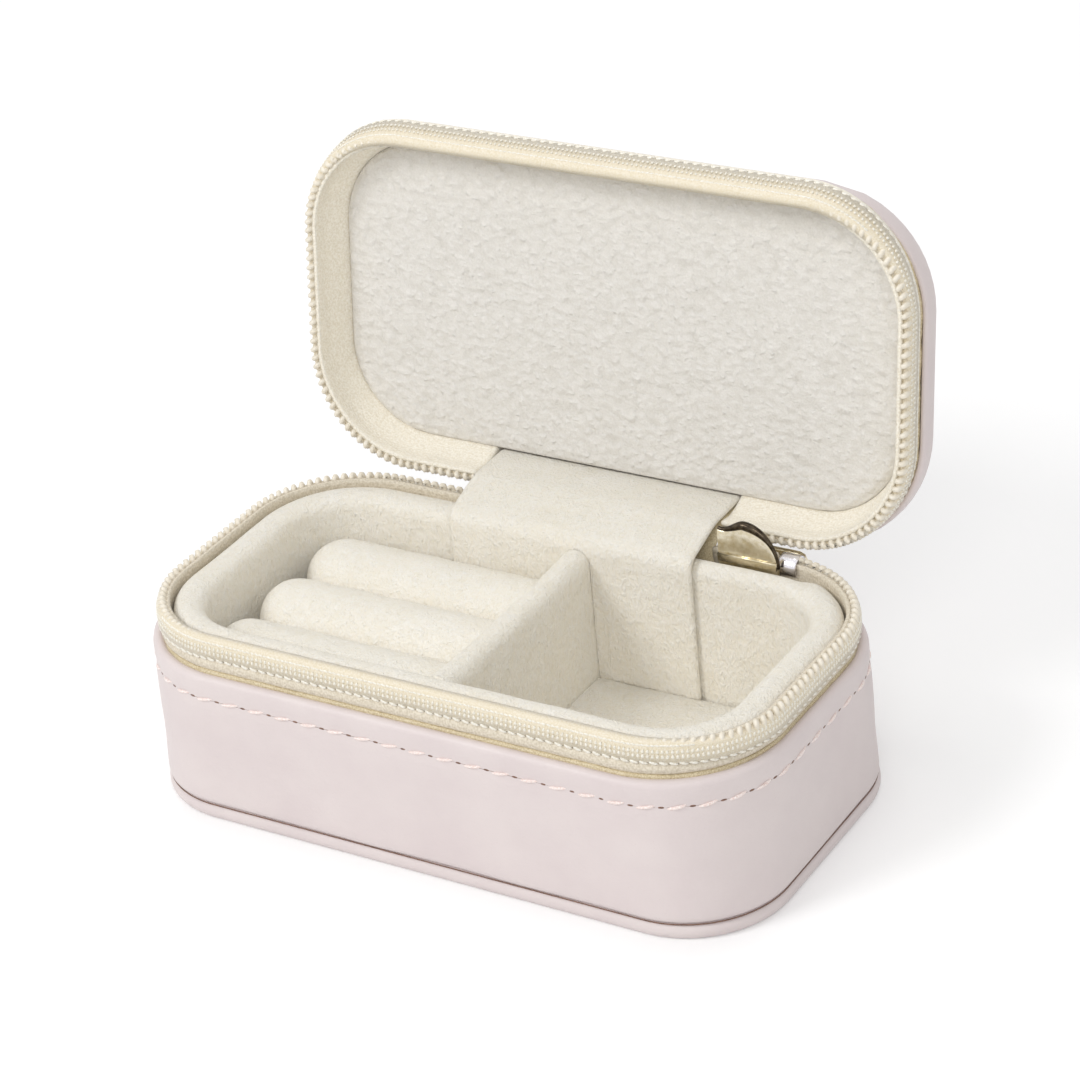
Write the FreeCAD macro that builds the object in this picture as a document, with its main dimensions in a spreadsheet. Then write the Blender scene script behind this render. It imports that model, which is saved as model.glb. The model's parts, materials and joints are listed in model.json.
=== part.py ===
import FreeCAD, Part
import Sketcher
import math
import os
import re

# Zip-round travel jewelry case with its lid open: leatherette outside, velvet inside.
# Millimetres. +X to the right, +Y to the rear, +Z up. The origin is the middle of the base's underside.
# The lid's pieces are drawn about the hinge line as if the case were shut, then turned open.

Vector = FreeCAD.Vector

# Driving dimensions.
SIZES = {
    # Case outline and covers
    "case_length": 100.0,
    "case_width": 54.0,
    "corner_radius": 18.0,
    "foot_radius": 14.0,
    "wall_draft": 1.0,
    "wall_height": 22.1,
    "leather": 1.2,
    "fold_round": 0.8,
    "bottom_lip": 0.6,
    "lip_round": 0.9,
    "bottom_board": 1.2,
    "wall_board": 1.6,
    "wall_board_drop": 1.5,
    "fit_gap": 0.1,
    # Zip
    "zip_stand": 5.5,
    "tape_thickness": 0.6,
    "tape_sewn": 8.0,
    "coil_thickness": 1.3,
    "coil_height": 3.7,
    "tooth_reach": 0.3,
    "row_gap": 0.1,
    # Tray inside the base
    "tray_gap": 0.3,
    "velvet": 0.8,
    "tray_board": 1.4,
    "rim_drop": 1.1,
    "floor_card": 1.2,
    "floor_foam": 3.0,
    "divider_place": 1.5,
    "divider_board": 2.4,
    "divider_drop": 0.9,
    "roll_card": 1.0,
    "roll_drop": 4.3,
    "roll_gap": 0.3,
    "roll_end_gap": 3.2,
    # Lid
    "open_angle": 98.0,
    "panel_recess": 6.4,
    "panel_inset": 4.5,
    "panel_foam": 0.9,
    "panel_board": 1.0,
    "panel_round": 0.5,
    "lid_board": 1.4,
    "lid_round": 4.8,
    # Hinge strips
    "hinge_length": 40.0,
    "hinge_gap": 0.3,
    "hinge_bend": 6.0,
    "strip_crest": 2.4,
    "strip_bend": 8.0,
    "strip_tuck": 1.2,
    # Slider and pull
    "slider_inset": 22.0,
    "slider_length": 11.5,
    "slider_play": 0.7,
    "slider_plate": 0.9,
    "slider_lift": 0.4,
    "slider_rise": 4.6,
    "slider_corner": 2.6,
    "outer_drop": 0.7,
    "post_place": 2.4,
    "post_length": 2.4,
    "post_height": 0.9,
    "travel_back": 1.5,
    "travel_out": 2.5,
    "bar_radius": 0.65,
    "bar_play": 0.08,
    "bar_drop": 3.1,
    "eye_wall": 0.8,
    "eye_length": 4.4,
    "eye_gap": 0.3,
    "lug": 1.0,
    "pull_length": 21.0,
    "pull_width": 5.6,
    "pull_plate": 1.2,
    "pull_corner": 2.2,
}

# Levels, insets from the case's outline and other sizes worked out from the driving ones.
LAYOUT = {
    # Levels of the base
    "bottom_height": "leather + bottom_board",
    "wall_top": "bottom_height + wall_height",
    "wall_board_top": "wall_top - wall_board_drop",
    "split_height": "wall_top + zip_stand",
    "coil_top": "split_height - row_gap",
    "coil_low": "coil_top - coil_height",
    "tape_top": "coil_top - tooth_reach",
    "tape_low": "wall_top - tape_sewn",
    "card_top": "bottom_height + floor_card",
    "foam_top": "card_top + floor_foam",
    "floor_top": "foam_top + velvet",
    "rim_top": "split_height - rim_drop",
    "slot_top": "rim_top - 2 * velvet",
    "divider_top": "rim_top - divider_drop",
    "roll_low": "floor_top + roll_card",
    "roll_top": "rim_top - roll_drop",
    # Insets from the outline
    "foot_inset": "wall_draft - bottom_lip",
    "tape_face": "wall_draft + leather",
    "tape_back": "tape_face + tape_thickness",
    "coil_face": "tape_face - coil_thickness",
    "board_face": "tape_back + fit_gap",
    "board_back": "board_face + wall_board",
    "tray_face": "board_back + tray_gap",
    "slot_face": "tray_face + velvet",
    "slot_back": "slot_face + tray_board + 2 * fit_gap",
    "tray_back": "slot_back + velvet",
    "rim_round": "0.4 * (tray_back - tray_face)",
    # Levels of the lid, as if shut
    "lid_row_low": "split_height + row_gap",
    "lid_row_top": "lid_row_low + coil_height",
    "lid_tape_low": "lid_row_low + tooth_reach",
    "lid_edge": "split_height + zip_stand",
    "panel_face": "split_height + panel_recess",
    "panel_foam_low": "panel_face + velvet",
    "panel_board_low": "panel_foam_low + panel_foam",
    "lid_board_low": "panel_board_low + panel_board",
    "lid_ceiling": "lid_board_low + lid_board",
    "lid_top": "lid_ceiling + leather",
    # The hinge line runs along the outer face of the zip's coils
    "hinge_line": "case_width / 2 - coil_face",
    # Tray hollow: half its length, and its front and rear faces
    "tray_half": "case_length / 2 - tray_back",
    "tray_front": "tray_back - case_width / 2 + fit_gap",
    "tray_rear": "case_width / 2 - tray_back - velvet - 2 * fit_gap",
    "divider_thick": "2 * velvet + divider_board + 2 * fit_gap",
    "divider_left": "divider_place - divider_thick / 2",
    "roll_pitch": "(tray_rear - tray_front) / 3",
    "roll_radius": "(roll_pitch - roll_gap) / 2",
    "roll_right": "divider_left - fit_gap",
    "roll_start": "roll_end_gap + roll_radius - tray_half",
    # Slider and pull
    "plate_low": "wall_top + slider_lift",
    "plate_top": "split_height + slider_rise",
    "outer_top": "split_height - outer_drop",
    "post_low": "outer_top - post_height",
    "inner_plate_face": "case_width / 2 - tape_back - slider_play",
    "outer_plate_back": "case_width / 2 - coil_face + slider_play",
    "outer_plate_face": "outer_plate_back + slider_plate",
    "slider_place": "case_length / 2 - slider_inset",
    "slider_left": "slider_place - slider_length / 2",
    "post_left": "slider_place + post_place - post_length / 2",
    "eye_hole": "bar_radius + bar_play",
    "eye_radius": "eye_hole + eye_wall",
    "bar_reach": "outer_plate_face + eye_gap + eye_radius",
    "bar_level": "outer_top - bar_drop",
}

BASE = ("0", "0")
LID = ("hinge_line", "split_height")
ROLLS = ("front", "middle", "rear")

doc = FreeCAD.newDocument("jewelry_case")
sizes = doc.addObject("Spreadsheet::Sheet", "sizes")
layout = doc.addObject("Spreadsheet::Sheet", "layout")
nodes = []


def expression(text):
    """Turn plain size names into references to the two sheets."""
    def reference(match):
        word = match.group(0)
        if word in SIZES:
            return "sizes." + word
        if word in LAYOUT:
            return "layout." + word
        return word
    return re.sub("[a-z_]+", reference, text)


def fill_sheets():
    for row, (name, number) in enumerate(SIZES.items(), 1):
        sizes.set("A%d" % row, name)
        sizes.set("B%d" % row, str(number))
        sizes.setAlias("B%d" % row, name)
    for row, (name, text) in enumerate(LAYOUT.items(), 1):
        layout.set("A%d" % row, name)
        layout.setAlias("B%d" % row, name)
        layout.set("B%d" % row, "=" + expression(text))
    doc.recompute()


def size(name):
    sheet = sizes if name in SIZES else layout
    return float(sheet.get(name))


def bind(item, path, text):
    item.setExpression(path, expression(text))


def new_body(label, half=BASE):
    body = doc.addObject("PartDesign::Body", label)
    body.Label = label
    if half is LID:
        body.Placement = FreeCAD.Placement(Vector(), FreeCAD.Rotation(Vector(-1, 0, 0), size("open_angle")))
        bind(body, "Placement.Rotation.Angle", "open_angle")
        bind(body, "Placement.Base.y", "hinge_line")
        bind(body, "Placement.Base.z", "split_height")
    nodes.append(body)
    return body


def new_sketch(body, name, role, offset):
    """A sketch on one of the body's own planes, moved by three expressions in that plane's directions."""
    sketch = body.newObject("Sketcher::SketchObject", body.Label + "_" + name)
    planes = [item for item in body.Origin.OriginFeatures if item.Role == role]
    sketch.AttachmentSupport = [(planes[0], "")]
    sketch.MapMode = "FlatFace"
    for axis, text in zip("xyz", offset):
        bind(sketch, "AttachmentOffset.Base." + axis, text)
    return sketch


def dimension(sketch, name, constraint, text):
    place = sketch.addConstraint(constraint)
    sketch.renameConstraint(place, name)
    bind(sketch, "Constraints." + name, text)


def rounded_outline(sketch, name, inset, radius=None):
    """A rounded rectangle about the sketch's origin, inset all round from the case's outline."""
    length = "case_length - 2 * (%s)" % inset
    width = "case_width - 2 * (%s)" % inset
    radius = radius or "corner_radius - (%s)" % inset
    x = size("case_length") / 2
    y = size("case_width") / 2
    bend = size("corner_radius") * 0.75
    corners = ((x, -y), (x, y), (-x, y), (-x, -y))
    sides = ((1, 0), (0, 1), (-1, 0), (0, -1))
    first = sketch.GeometryCount
    for turn, ((corner_x, corner_y), (along_x, along_y)) in enumerate(zip(corners, sides)):
        reach = 2 * (x if along_x else y) - bend
        end = Vector(corner_x - along_x * bend, corner_y - along_y * bend)
        start = Vector(corner_x - along_x * reach, corner_y - along_y * reach)
        centre = Vector(end.x - along_y * bend, end.y + along_x * bend)
        angle = math.radians(90 * (turn - 1))
        sketch.addGeometry(Part.LineSegment(start, end))
        circle = Part.Circle(centre, Vector(0, 0, 1), bend)
        sketch.addGeometry(Part.ArcOfCircle(circle, angle, angle + math.pi / 2))
    for piece in range(8):
        sketch.addConstraint(Sketcher.Constraint("Tangent", first + piece, 2, first + (piece + 1) % 8, 1))
    for piece, rule in ((0, "Horizontal"), (2, "Vertical"), (4, "Horizontal"), (6, "Vertical")):
        sketch.addConstraint(Sketcher.Constraint(rule, first + piece))
    for piece in (3, 5, 7):
        sketch.addConstraint(Sketcher.Constraint("Equal", first + 1, first + piece))
    sketch.addConstraint(Sketcher.Constraint("Symmetric", first + 1, 3, first + 5, 3, -1, 1))
    across = Sketcher.Constraint("DistanceX", first + 6, 1, first + 2, 1, 2 * x)
    upward = Sketcher.Constraint("DistanceY", first, 1, first + 4, 1, 2 * y)
    dimension(sketch, name + "_length", across, length)
    dimension(sketch, name + "_width", upward, width)
    dimension(sketch, name + "_radius", Sketcher.Constraint("Radius", first + 1, bend), radius)


def level_sketch(body, name, level, half=BASE):
    """A level sketch about the case's middle, at a height above the base's underside."""
    return new_sketch(body, name, "XY_Plane", ("0", "-(%s)" % half[0], "%s - (%s)" % (level, half[1])))


def pad(body, sketch, height):
    feature = body.newObject("PartDesign::Pad", sketch.Name + "_pad")
    feature.Profile = sketch
    bind(feature, "Length", height)
    return feature


def pocket(body, sketch, depth, upward=False):
    feature = body.newObject("PartDesign::Pocket", sketch.Name + "_pocket")
    feature.Profile = sketch
    feature.Reversed = upward
    bind(feature, "Length", depth)
    return feature


def plate(label, inset, low, high, half=BASE):
    """A flat piece with the case's rounded outline."""
    body = new_body(label, half)
    sketch = level_sketch(body, "outline", low, half)
    rounded_outline(sketch, "edge", inset)
    pad(body, sketch, "%s - (%s)" % (high, low))
    return body


def ring(label, outer, inner, low, high, half=BASE):
    """A wall of even thickness that follows the case's rounded outline."""
    body = new_body(label, half)
    sketch = level_sketch(body, "outline", low, half)
    rounded_outline(sketch, "outer", outer)
    rounded_outline(sketch, "inner", inner)
    pad(body, sketch, "%s - (%s)" % (high, low))
    return body


def block(body, kind, name, low, high, half=BASE):
    """A box added to or cut from a body, between two corners given as expressions."""
    box = body.newObject("PartDesign::" + kind + "Box", body.Label + "_" + name)
    origin = ("0",) + half
    for axis, side, start, end, shift in zip("xyz", ("Length", "Width", "Height"), low, high, origin):
        bind(box, "Placement.Base." + axis, "(%s) - (%s)" % (start, shift))
        bind(box, side, "(%s) - (%s)" % (end, start))
    return box


def round_edges(body, name, radius, chosen):
    """Round the edges of the body's last feature for which chosen(edge) is true."""
    doc.recompute()
    base = body.Tip
    edges = ["Edge%d" % number for number, edge in enumerate(base.Shape.Edges, 1) if chosen(edge)]
    fillet = body.newObject("PartDesign::Fillet", body.Label + "_" + name)
    fillet.Base = (base, edges)
    bind(fillet, "Radius", radius)


def at_level(*levels):
    """Edges that lie flat at one of the given heights in the body's own frame."""
    def chosen(edge):
        box = edge.BoundBox
        return any(abs(box.ZMin - level) < 1e-4 and abs(box.ZMax - level) < 1e-4 for level in levels)
    return chosen


def along(axis, *levels):
    """Straight edges along one axis, or only those at the given heights."""
    def chosen(edge):
        run = edge.BoundBox
        spans = {"X": run.XLength, "Y": run.YLength, "Z": run.ZLength}
        straight = spans[axis] > 1e-4 and sum(spans.values()) - spans[axis] < 1e-4
        return straight and (not levels or at_level(*levels)(edge))
    return chosen


def base_shell():
    bottom = new_body("base_bottom_cover")
    sketch = level_sketch(bottom, "outline", "0")
    rounded_outline(sketch, "edge", "foot_inset", "foot_radius + bottom_lip")
    pad(bottom, sketch, "bottom_height")
    round_edges(bottom, "lip", "lip_round", at_level(0, size("bottom_height")))
    recess = level_sketch(bottom, "recess", "bottom_height")
    rounded_outline(recess, "edge", "tape_face")
    pocket(bottom, recess, "bottom_board")
    plate("base_bottom_board", "tape_face + fit_gap", "leather", "bottom_height")

    wall = new_body("base_wall_cover")
    foot = level_sketch(wall, "foot", "bottom_height")
    rounded_outline(foot, "edge", "wall_draft", "foot_radius")
    top = level_sketch(wall, "top", "wall_top")
    rounded_outline(top, "edge", "0")
    loft = wall.newObject("PartDesign::AdditiveLoft", "base_wall_loft")
    loft.Profile = foot
    loft.Sections = [top]
    loft.Ruled = True
    hollow = level_sketch(wall, "hollow", "wall_top")
    rounded_outline(hollow, "edge", "tape_face")
    pocket(wall, hollow, "wall_height")
    round_edges(wall, "fold", "fold_round", at_level(size("wall_top")))
    ring("base_wall_board", "board_face", "board_back", "bottom_height", "wall_board_top")


def zip_half(side, half, tape_low, tape_top, coil_low, coil_top):
    """Tape and coil of one side of the zip, open across the hinge."""
    reach = "hinge_length / 2 + hinge_gap"
    behind = ("case_width / 2 - board_back", "case_width / 2")
    bay = ("post_left - travel_back - fit_gap * 3", "post_left + post_length + travel_out + fit_gap * 3")
    rows = (
        ("tape", "tape_face", "tape_back", tape_low, tape_top),
        ("coil", "coil_face", "tape_face", coil_low, coil_top),
    )
    for name, outer, inner, low, high in rows:
        body = ring(side + "_zip_" + name, outer, inner, low, high, half)
        block(body, "Subtractive", "hinge_gap", ("-(%s)" % reach, behind[0], low),
              (reach, behind[1], high), half)
        if half is BASE:
            block(body, "Subtractive", "slider_bay", (bay[0], behind[0], "post_low - fit_gap * 3"),
                  (bay[1], behind[1], high))


def tray():
    plate("tray_floor_card", "tray_face", "bottom_height", "card_top")
    plate("tray_floor_foam", "tray_back + fit_gap", "card_top", "foam_top")
    plate("tray_floor_velvet", "tray_back + fit_gap", "foam_top", "floor_top")
    wall = ring("tray_wall_velvet", "tray_face", "tray_back", "card_top", "rim_top")
    round_edges(wall, "rim", "rim_round", at_level(size("rim_top")))
    slot = level_sketch(wall, "slot", "card_top")
    rounded_outline(slot, "outer", "slot_face")
    rounded_outline(slot, "inner", "slot_back")
    pocket(wall, slot, "slot_top - card_top", upward=True)
    ring("tray_wall_board", "slot_face + fit_gap", "slot_back - fit_gap", "card_top", "slot_top - fit_gap")

    right = "divider_left + divider_thick"
    divider = new_body("divider_velvet")
    block(divider, "Additive", "wall", ("divider_left", "tray_front", "floor_top"),
          (right, "tray_rear", "divider_top"))
    round_edges(divider, "rim", "0.4 * divider_thick", along("Y", size("divider_top")))
    block(divider, "Subtractive", "slot", ("divider_left + velvet", "tray_front + velvet", "floor_top"),
          (right + " - velvet", "tray_rear - velvet", "divider_top - 2 * velvet"))
    board = new_body("divider_board")
    block(board, "Additive", "board",
          ("divider_left + velvet + fit_gap", "tray_front + velvet + fit_gap", "floor_top"),
          (right + " - velvet - fit_gap", "tray_rear - velvet - fit_gap",
           "divider_top - 2 * velvet - fit_gap"))


def loaf_sketch(body, name, centre, radius, top, half_only):
    """Round-topped section of a ring roll, or its right half, at the roll's rounded end."""
    sketch = new_sketch(body, name, "YZ_Plane", (centre, "0", "roll_start"))
    bend = size("roll_radius") * 0.9
    crown = size("roll_top") - bend
    low = size("roll_low")
    left = 0 if half_only else -bend
    sweep = math.pi / 2 if half_only else math.pi
    crown_left = crown + bend if half_only else crown
    arc = Part.ArcOfCircle(Part.Circle(Vector(0, crown), Vector(0, 0, 1), bend), 0, sweep)
    sketch.addGeometry(Part.LineSegment(Vector(left, low), Vector(bend, low)))
    sketch.addGeometry(Part.LineSegment(Vector(bend, low), Vector(bend, crown)))
    sketch.addGeometry(arc)
    sketch.addGeometry(Part.LineSegment(Vector(left, crown_left), Vector(left, low)))
    sketch.addConstraint(Sketcher.Constraint("Coincident", 0, 2, 1, 1))
    sketch.addConstraint(Sketcher.Constraint("Tangent", 1, 2, 2, 1))
    sketch.addConstraint(Sketcher.Constraint("Coincident" if half_only else "Tangent", 2, 2, 3, 1))
    sketch.addConstraint(Sketcher.Constraint("Coincident", 3, 2, 0, 1))
    sketch.addConstraint(Sketcher.Constraint("Horizontal", 0))
    sketch.addConstraint(Sketcher.Constraint("Vertical", 1))
    sketch.addConstraint(Sketcher.Constraint("Vertical", 3))
    sketch.addConstraint(Sketcher.Constraint("PointOnObject", 2, 3, -2))
    if half_only:
        sketch.addConstraint(Sketcher.Constraint("PointOnObject", 3, 1, -2))
    dimension(sketch, "low", Sketcher.Constraint("DistanceY", -1, 1, 0, 2, low), "roll_low")
    crown_rise = Sketcher.Constraint("DistanceY", -1, 1, 2, 3, crown)
    dimension(sketch, "crown", crown_rise, "%s - (%s)" % (top, radius))
    dimension(sketch, "bend", Sketcher.Constraint("Radius", 2, bend), radius)
    return sketch


def loaf(body, kinds, name, centre, radius, top):
    """A ring roll's form, added or cut: a round-topped run with a domed left end."""
    run_kind, end_kind = kinds
    run = body.newObject("PartDesign::" + run_kind, body.Label + "_" + name + "_run")
    run.Profile = loaf_sketch(body, name + "_section", centre, radius, top, False)
    run.Reversed = run_kind == "Pocket"
    bind(run, "Length", "roll_right - roll_start")
    end = body.newObject("PartDesign::" + end_kind, body.Label + "_" + name + "_end")
    profile = loaf_sketch(body, name + "_end_section", centre, radius, top, True)
    end.Profile = profile
    end.ReferenceAxis = (profile, ["V_Axis"])
    end.Angle = 180


def ring_rolls():
    card = new_body("ring_pad_card")
    block(card, "Additive", "card", ("corner_radius - case_length / 2", "tray_front", "floor_top"),
          ("roll_right", "tray_rear", "roll_low"))
    for number, name in enumerate(ROLLS):
        centre = "tray_front + roll_pitch * %.1f" % (number + 0.5)
        cover = new_body("ring_roll_%s_velvet" % name)
        loaf(cover, ("Pad", "Revolution"), "outside", centre, "roll_radius", "roll_top")
        loaf(cover, ("Pocket", "Groove"), "inside", centre, "roll_radius - velvet", "roll_top - velvet")
        core = new_body("ring_roll_%s_foam" % name)
        loaf(core, ("Pad", "Revolution"), "core", centre, "roll_radius - velvet - fit_gap",
             "roll_top - velvet - fit_gap")


def lid():
    cover = new_body("lid_cover", LID)
    outline = level_sketch(cover, "outline", "lid_edge", LID)
    rounded_outline(outline, "edge", "0")
    pad(cover, outline, "lid_top - lid_edge")
    round_edges(cover, "edge", "lid_round", at_level(size("lid_top") - size("split_height")))
    hollow = level_sketch(cover, "hollow", "lid_edge", LID)
    rounded_outline(hollow, "edge", "tape_face")
    pocket(cover, hollow, "lid_ceiling - lid_edge", upward=True)
    plate("lid_board", "tape_face + fit_gap", "lid_board_low", "lid_ceiling", LID)

    panel = plate("lid_panel_velvet", "panel_inset", "panel_face", "lid_board_low", LID)
    round_edges(panel, "edge", "panel_round", at_level(size("panel_face") - size("split_height")))
    filling = level_sketch(panel, "filling", "lid_board_low", LID)
    rounded_outline(filling, "edge", "panel_inset + velvet")
    pocket(panel, filling, "lid_board_low - panel_foam_low")
    plate("lid_panel_foam", "panel_inset + velvet + fit_gap", "panel_foam_low", "panel_board_low", LID)
    plate("lid_panel_board", "panel_inset + velvet + fit_gap", "panel_board_low", "lid_board_low", LID)


def opened(y, z):
    """Where a point of the shut lid lies on the open lid."""
    turn = math.radians(size("open_angle"))
    back = y - size("hinge_line")
    up = z - size("split_height")
    return Vector(0, size("hinge_line") + back * math.cos(turn) + up * math.sin(turn),
                  size("split_height") - back * math.sin(turn) + up * math.cos(turn))


def bent_strip(label, path, thickness, bends):
    """A strip across the hinge: straight runs with an arc at each inner point of the path."""
    runs = []
    last = path[0]
    for before, corner, after, radius in zip(path, path[1:], path[2:], bends):
        back = (before - corner).normalize()
        ahead = (after - corner).normalize()
        half_turn = (math.pi - back.getAngle(ahead)) / 2
        cut = radius * math.tan(half_turn)
        middle = (back + ahead).normalize() * (radius / math.cos(half_turn) - radius)
        runs.append(Part.LineSegment(last, corner + back * cut).toShape())
        runs.append(Part.Arc(corner + back * cut, corner + middle, corner + ahead * cut).toShape())
        last = corner + ahead * cut
    runs.append(Part.LineSegment(last, path[-1]).toShape())
    middle_line = Part.Wire(runs)
    side = (path[1] - path[0]).normalize().cross(Vector(1, 0, 0)) * (thickness / 2)
    length = size("hinge_length")
    profile = Part.Wire(Part.makePolygon([
        path[0] - side + Vector(-length / 2, 0, 0),
        path[0] + side + Vector(-length / 2, 0, 0),
        path[0] + side + Vector(length / 2, 0, 0),
        path[0] - side + Vector(length / 2, 0, 0),
        path[0] - side + Vector(-length / 2, 0, 0),
    ]))
    strip = doc.addObject("Part::Feature", label)
    strip.Label = label
    strip.Shape = middle_line.makePipeShell([profile], True, False)
    strip.Placement = FreeCAD.Placement()
    nodes.append(strip)


def hinge_strips():
    rear = size("case_width") / 2
    tape_line = rear - (size("tape_face") + size("tape_back")) / 2
    board_end = opened(tape_line, size("lid_board_low") - size("fit_gap"))
    lid_run = opened(tape_line, size("split_height")) - board_end
    corner = board_end + lid_run * ((tape_line - board_end.y) / lid_run.y)
    leather_path = [Vector(0, tape_line, size("tape_low")), corner, board_end]
    bent_strip("hinge_leather", leather_path, size("tape_thickness"), [size("hinge_bend")])

    thick = size("velvet")
    wall_line = rear - size("tray_back") - size("fit_gap") - thick / 2
    over_rim = size("rim_top") + size("fit_gap") + thick / 2
    panel_edge = opened(rear - size("panel_inset"), size("panel_face"))
    tuck = panel_edge + Vector(0, size("strip_tuck"), -thick)
    crest = Vector(0, (wall_line + tuck.y) / 2, over_rim + size("strip_crest"))
    rim = size("rim_round") + size("fit_gap") + thick / 2
    velvet_path = [
        Vector(0, wall_line, size("floor_top") + size("fit_gap")),
        Vector(0, wall_line, over_rim),
        crest,
        tuck,
    ]
    bent_strip("hinge_velvet", velvet_path, thick, [rim, size("strip_bend")])


def round_sketch(body, name, place, radii):
    """Circles about the pull's bar, square to it, at a place along the case."""
    sketch = new_sketch(body, name, "YZ_Plane", ("bar_reach", "bar_level", place))
    for number, radius in enumerate(radii):
        sketch.addGeometry(Part.Circle(Vector(), Vector(0, 0, 1), number + 1))
        sketch.addConstraint(Sketcher.Constraint("Coincident", number, 3, -1, 1))
        dimension(sketch, "radius_%d" % number, Sketcher.Constraint("Radius", number, number + 1), radius)
    return sketch


def zip_slider():
    slider = new_body("zip_slider")
    right = "slider_left + slider_length"
    block(slider, "Additive", "inner_plate",
          ("slider_left", "inner_plate_face - slider_plate", "plate_low"),
          (right, "inner_plate_face", "plate_top"))
    round_edges(slider, "corners", "slider_corner", along("Y"))
    block(slider, "Additive", "post", ("post_left", "inner_plate_face", "post_low"),
          ("post_left + post_length", "outer_plate_face", "outer_top"))
    block(slider, "Additive", "outer_plate", ("slider_left", "outer_plate_back", "plate_low"),
          (right, "outer_plate_face", "outer_top"))
    reach = "eye_length / 2 + fit_gap"
    lugs = {"left_lug": "slider_place - (%s) - lug" % reach, "right_lug": "slider_place + " + reach}
    for name, start in lugs.items():
        block(slider, "Additive", name, (start, "outer_plate_face", "bar_level - eye_hole"),
              (start + " + lug", "bar_reach + eye_hole", "bar_level + eye_hole"))
    bar = round_sketch(slider, "bar", "slider_place - (%s)" % reach, ["bar_radius"])
    pad(slider, bar, "eye_length + 2 * fit_gap")

    pull = new_body("zip_pull")
    front = "bar_reach - pull_plate / 2"
    back = "bar_reach + pull_plate / 2"
    block(pull, "Additive", "tab", ("slider_place - pull_width / 2", front, "bar_level - pull_length"),
          ("slider_place + pull_width / 2", back, "bar_level - eye_radius - eye_gap"))
    round_edges(pull, "corners", "pull_corner", along("Y"))
    block(pull, "Additive", "neck",
          ("slider_place - eye_length / 2", front, "bar_level - eye_radius - pull_corner"),
          ("slider_place + eye_length / 2", back, "bar_level - eye_hole - eye_wall / 2"))
    eye = round_sketch(pull, "eye", "slider_place - eye_length / 2", ["eye_radius", "eye_hole"])
    pad(pull, eye, "eye_length")


def write_nodes():
    doc.recompute()
    broken = [item.Name for item in doc.Objects if "Invalid" in item.State or "Error" in item.State]
    hollow = [item.Label for item in nodes if item.Shape.isNull() or not item.Shape.isValid()]
    if broken or hollow:
        raise RuntimeError("failed objects: %s; bad shapes: %s" % (broken, hollow))
    os.makedirs("parts", exist_ok=True)
    for item in nodes:
        solids = item.Shape.Solids
        print("%-26s solids %d volume %.1f" % (item.Label, len(solids), item.Shape.Volume))
        item.Shape.exportStep("parts/%s.step" % item.Label)


fill_sheets()
base_shell()
zip_half("base", BASE, "tape_low", "tape_top", "coil_low", "coil_top")
tray()
ring_rolls()
hinge_strips()
lid()
zip_half("lid", LID, "lid_tape_low", "lid_board_low", "lid_row_low", "lid_row_top")
zip_slider()
write_nodes()
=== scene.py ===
import json
import math

import bmesh
import bpy
import numpy as np
from mathutils import Matrix, Vector, noise


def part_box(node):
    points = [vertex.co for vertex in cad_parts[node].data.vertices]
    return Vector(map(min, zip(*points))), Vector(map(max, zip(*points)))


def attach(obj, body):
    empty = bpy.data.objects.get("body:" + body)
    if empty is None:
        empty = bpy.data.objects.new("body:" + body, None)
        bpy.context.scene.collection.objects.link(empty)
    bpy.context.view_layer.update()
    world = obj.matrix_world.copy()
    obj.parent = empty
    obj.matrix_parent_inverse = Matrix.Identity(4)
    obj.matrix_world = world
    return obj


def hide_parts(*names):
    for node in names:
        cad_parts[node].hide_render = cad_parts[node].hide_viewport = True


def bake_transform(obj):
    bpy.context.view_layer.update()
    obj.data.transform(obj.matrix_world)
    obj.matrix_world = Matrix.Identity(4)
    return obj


# Zip-round jewelry case with its lid open. Lengths are in millimetres until a mesh is made.
# The lid's pieces are drawn as if the case were shut and then turned open about the hinge line.

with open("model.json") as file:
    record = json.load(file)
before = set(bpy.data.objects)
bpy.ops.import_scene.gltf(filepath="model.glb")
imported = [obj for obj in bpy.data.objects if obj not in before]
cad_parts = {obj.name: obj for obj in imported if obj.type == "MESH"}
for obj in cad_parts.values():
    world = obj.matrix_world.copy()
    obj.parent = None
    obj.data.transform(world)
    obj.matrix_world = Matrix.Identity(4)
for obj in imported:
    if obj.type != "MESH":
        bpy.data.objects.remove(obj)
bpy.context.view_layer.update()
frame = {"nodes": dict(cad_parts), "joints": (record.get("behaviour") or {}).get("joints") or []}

MILLI = 0.001


def levels(node):
    """Lowest and highest level of one of the base's pieces."""
    low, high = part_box(node)
    return low.z / MILLI, high.z / MILLI


# Case outline and the walls' insets from it
CASE_LENGTH = 100.0
CASE_WIDTH = 54.0
CORNER_RADIUS = 18.0
FOOT_DRAFT = 1.0
FOOT_RADIUS = 14.0
LIP_INSET = 0.4
TAPE_FACE = 2.2
TAPE_BACK = 2.8
TRAY_FACE = 4.8
TRAY_BACK = 8.0
PANEL_INSET = 4.5

# Levels of the base, read from the frame
LIP_TOP, WALL_TOP = levels("base_wall_cover")
CARD_TOP, RIM_TOP = levels("tray_wall_velvet")
FLOOR_LOW, FLOOR_TOP = levels("tray_floor_velvet")
COIL_LOW, COIL_TOP = levels("base_zip_coil")
TAPE_LOW, TAPE_TOP = levels("base_zip_tape")

# The hinge line and the angle that the lid is opened to
HINGE = [joint for joint in frame["joints"] if joint["name"] == "lid_hinge"][0]
HINGE_Y = HINGE["pos_m"][1] / MILLI
SPLIT = HINGE["pos_m"][2] / MILLI
OPEN_ANGLE = math.radians(HINGE["range_deg"][1])
STRIP_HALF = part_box("hinge_velvet")[1].x / MILLI


# Outlines and meshes

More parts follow.
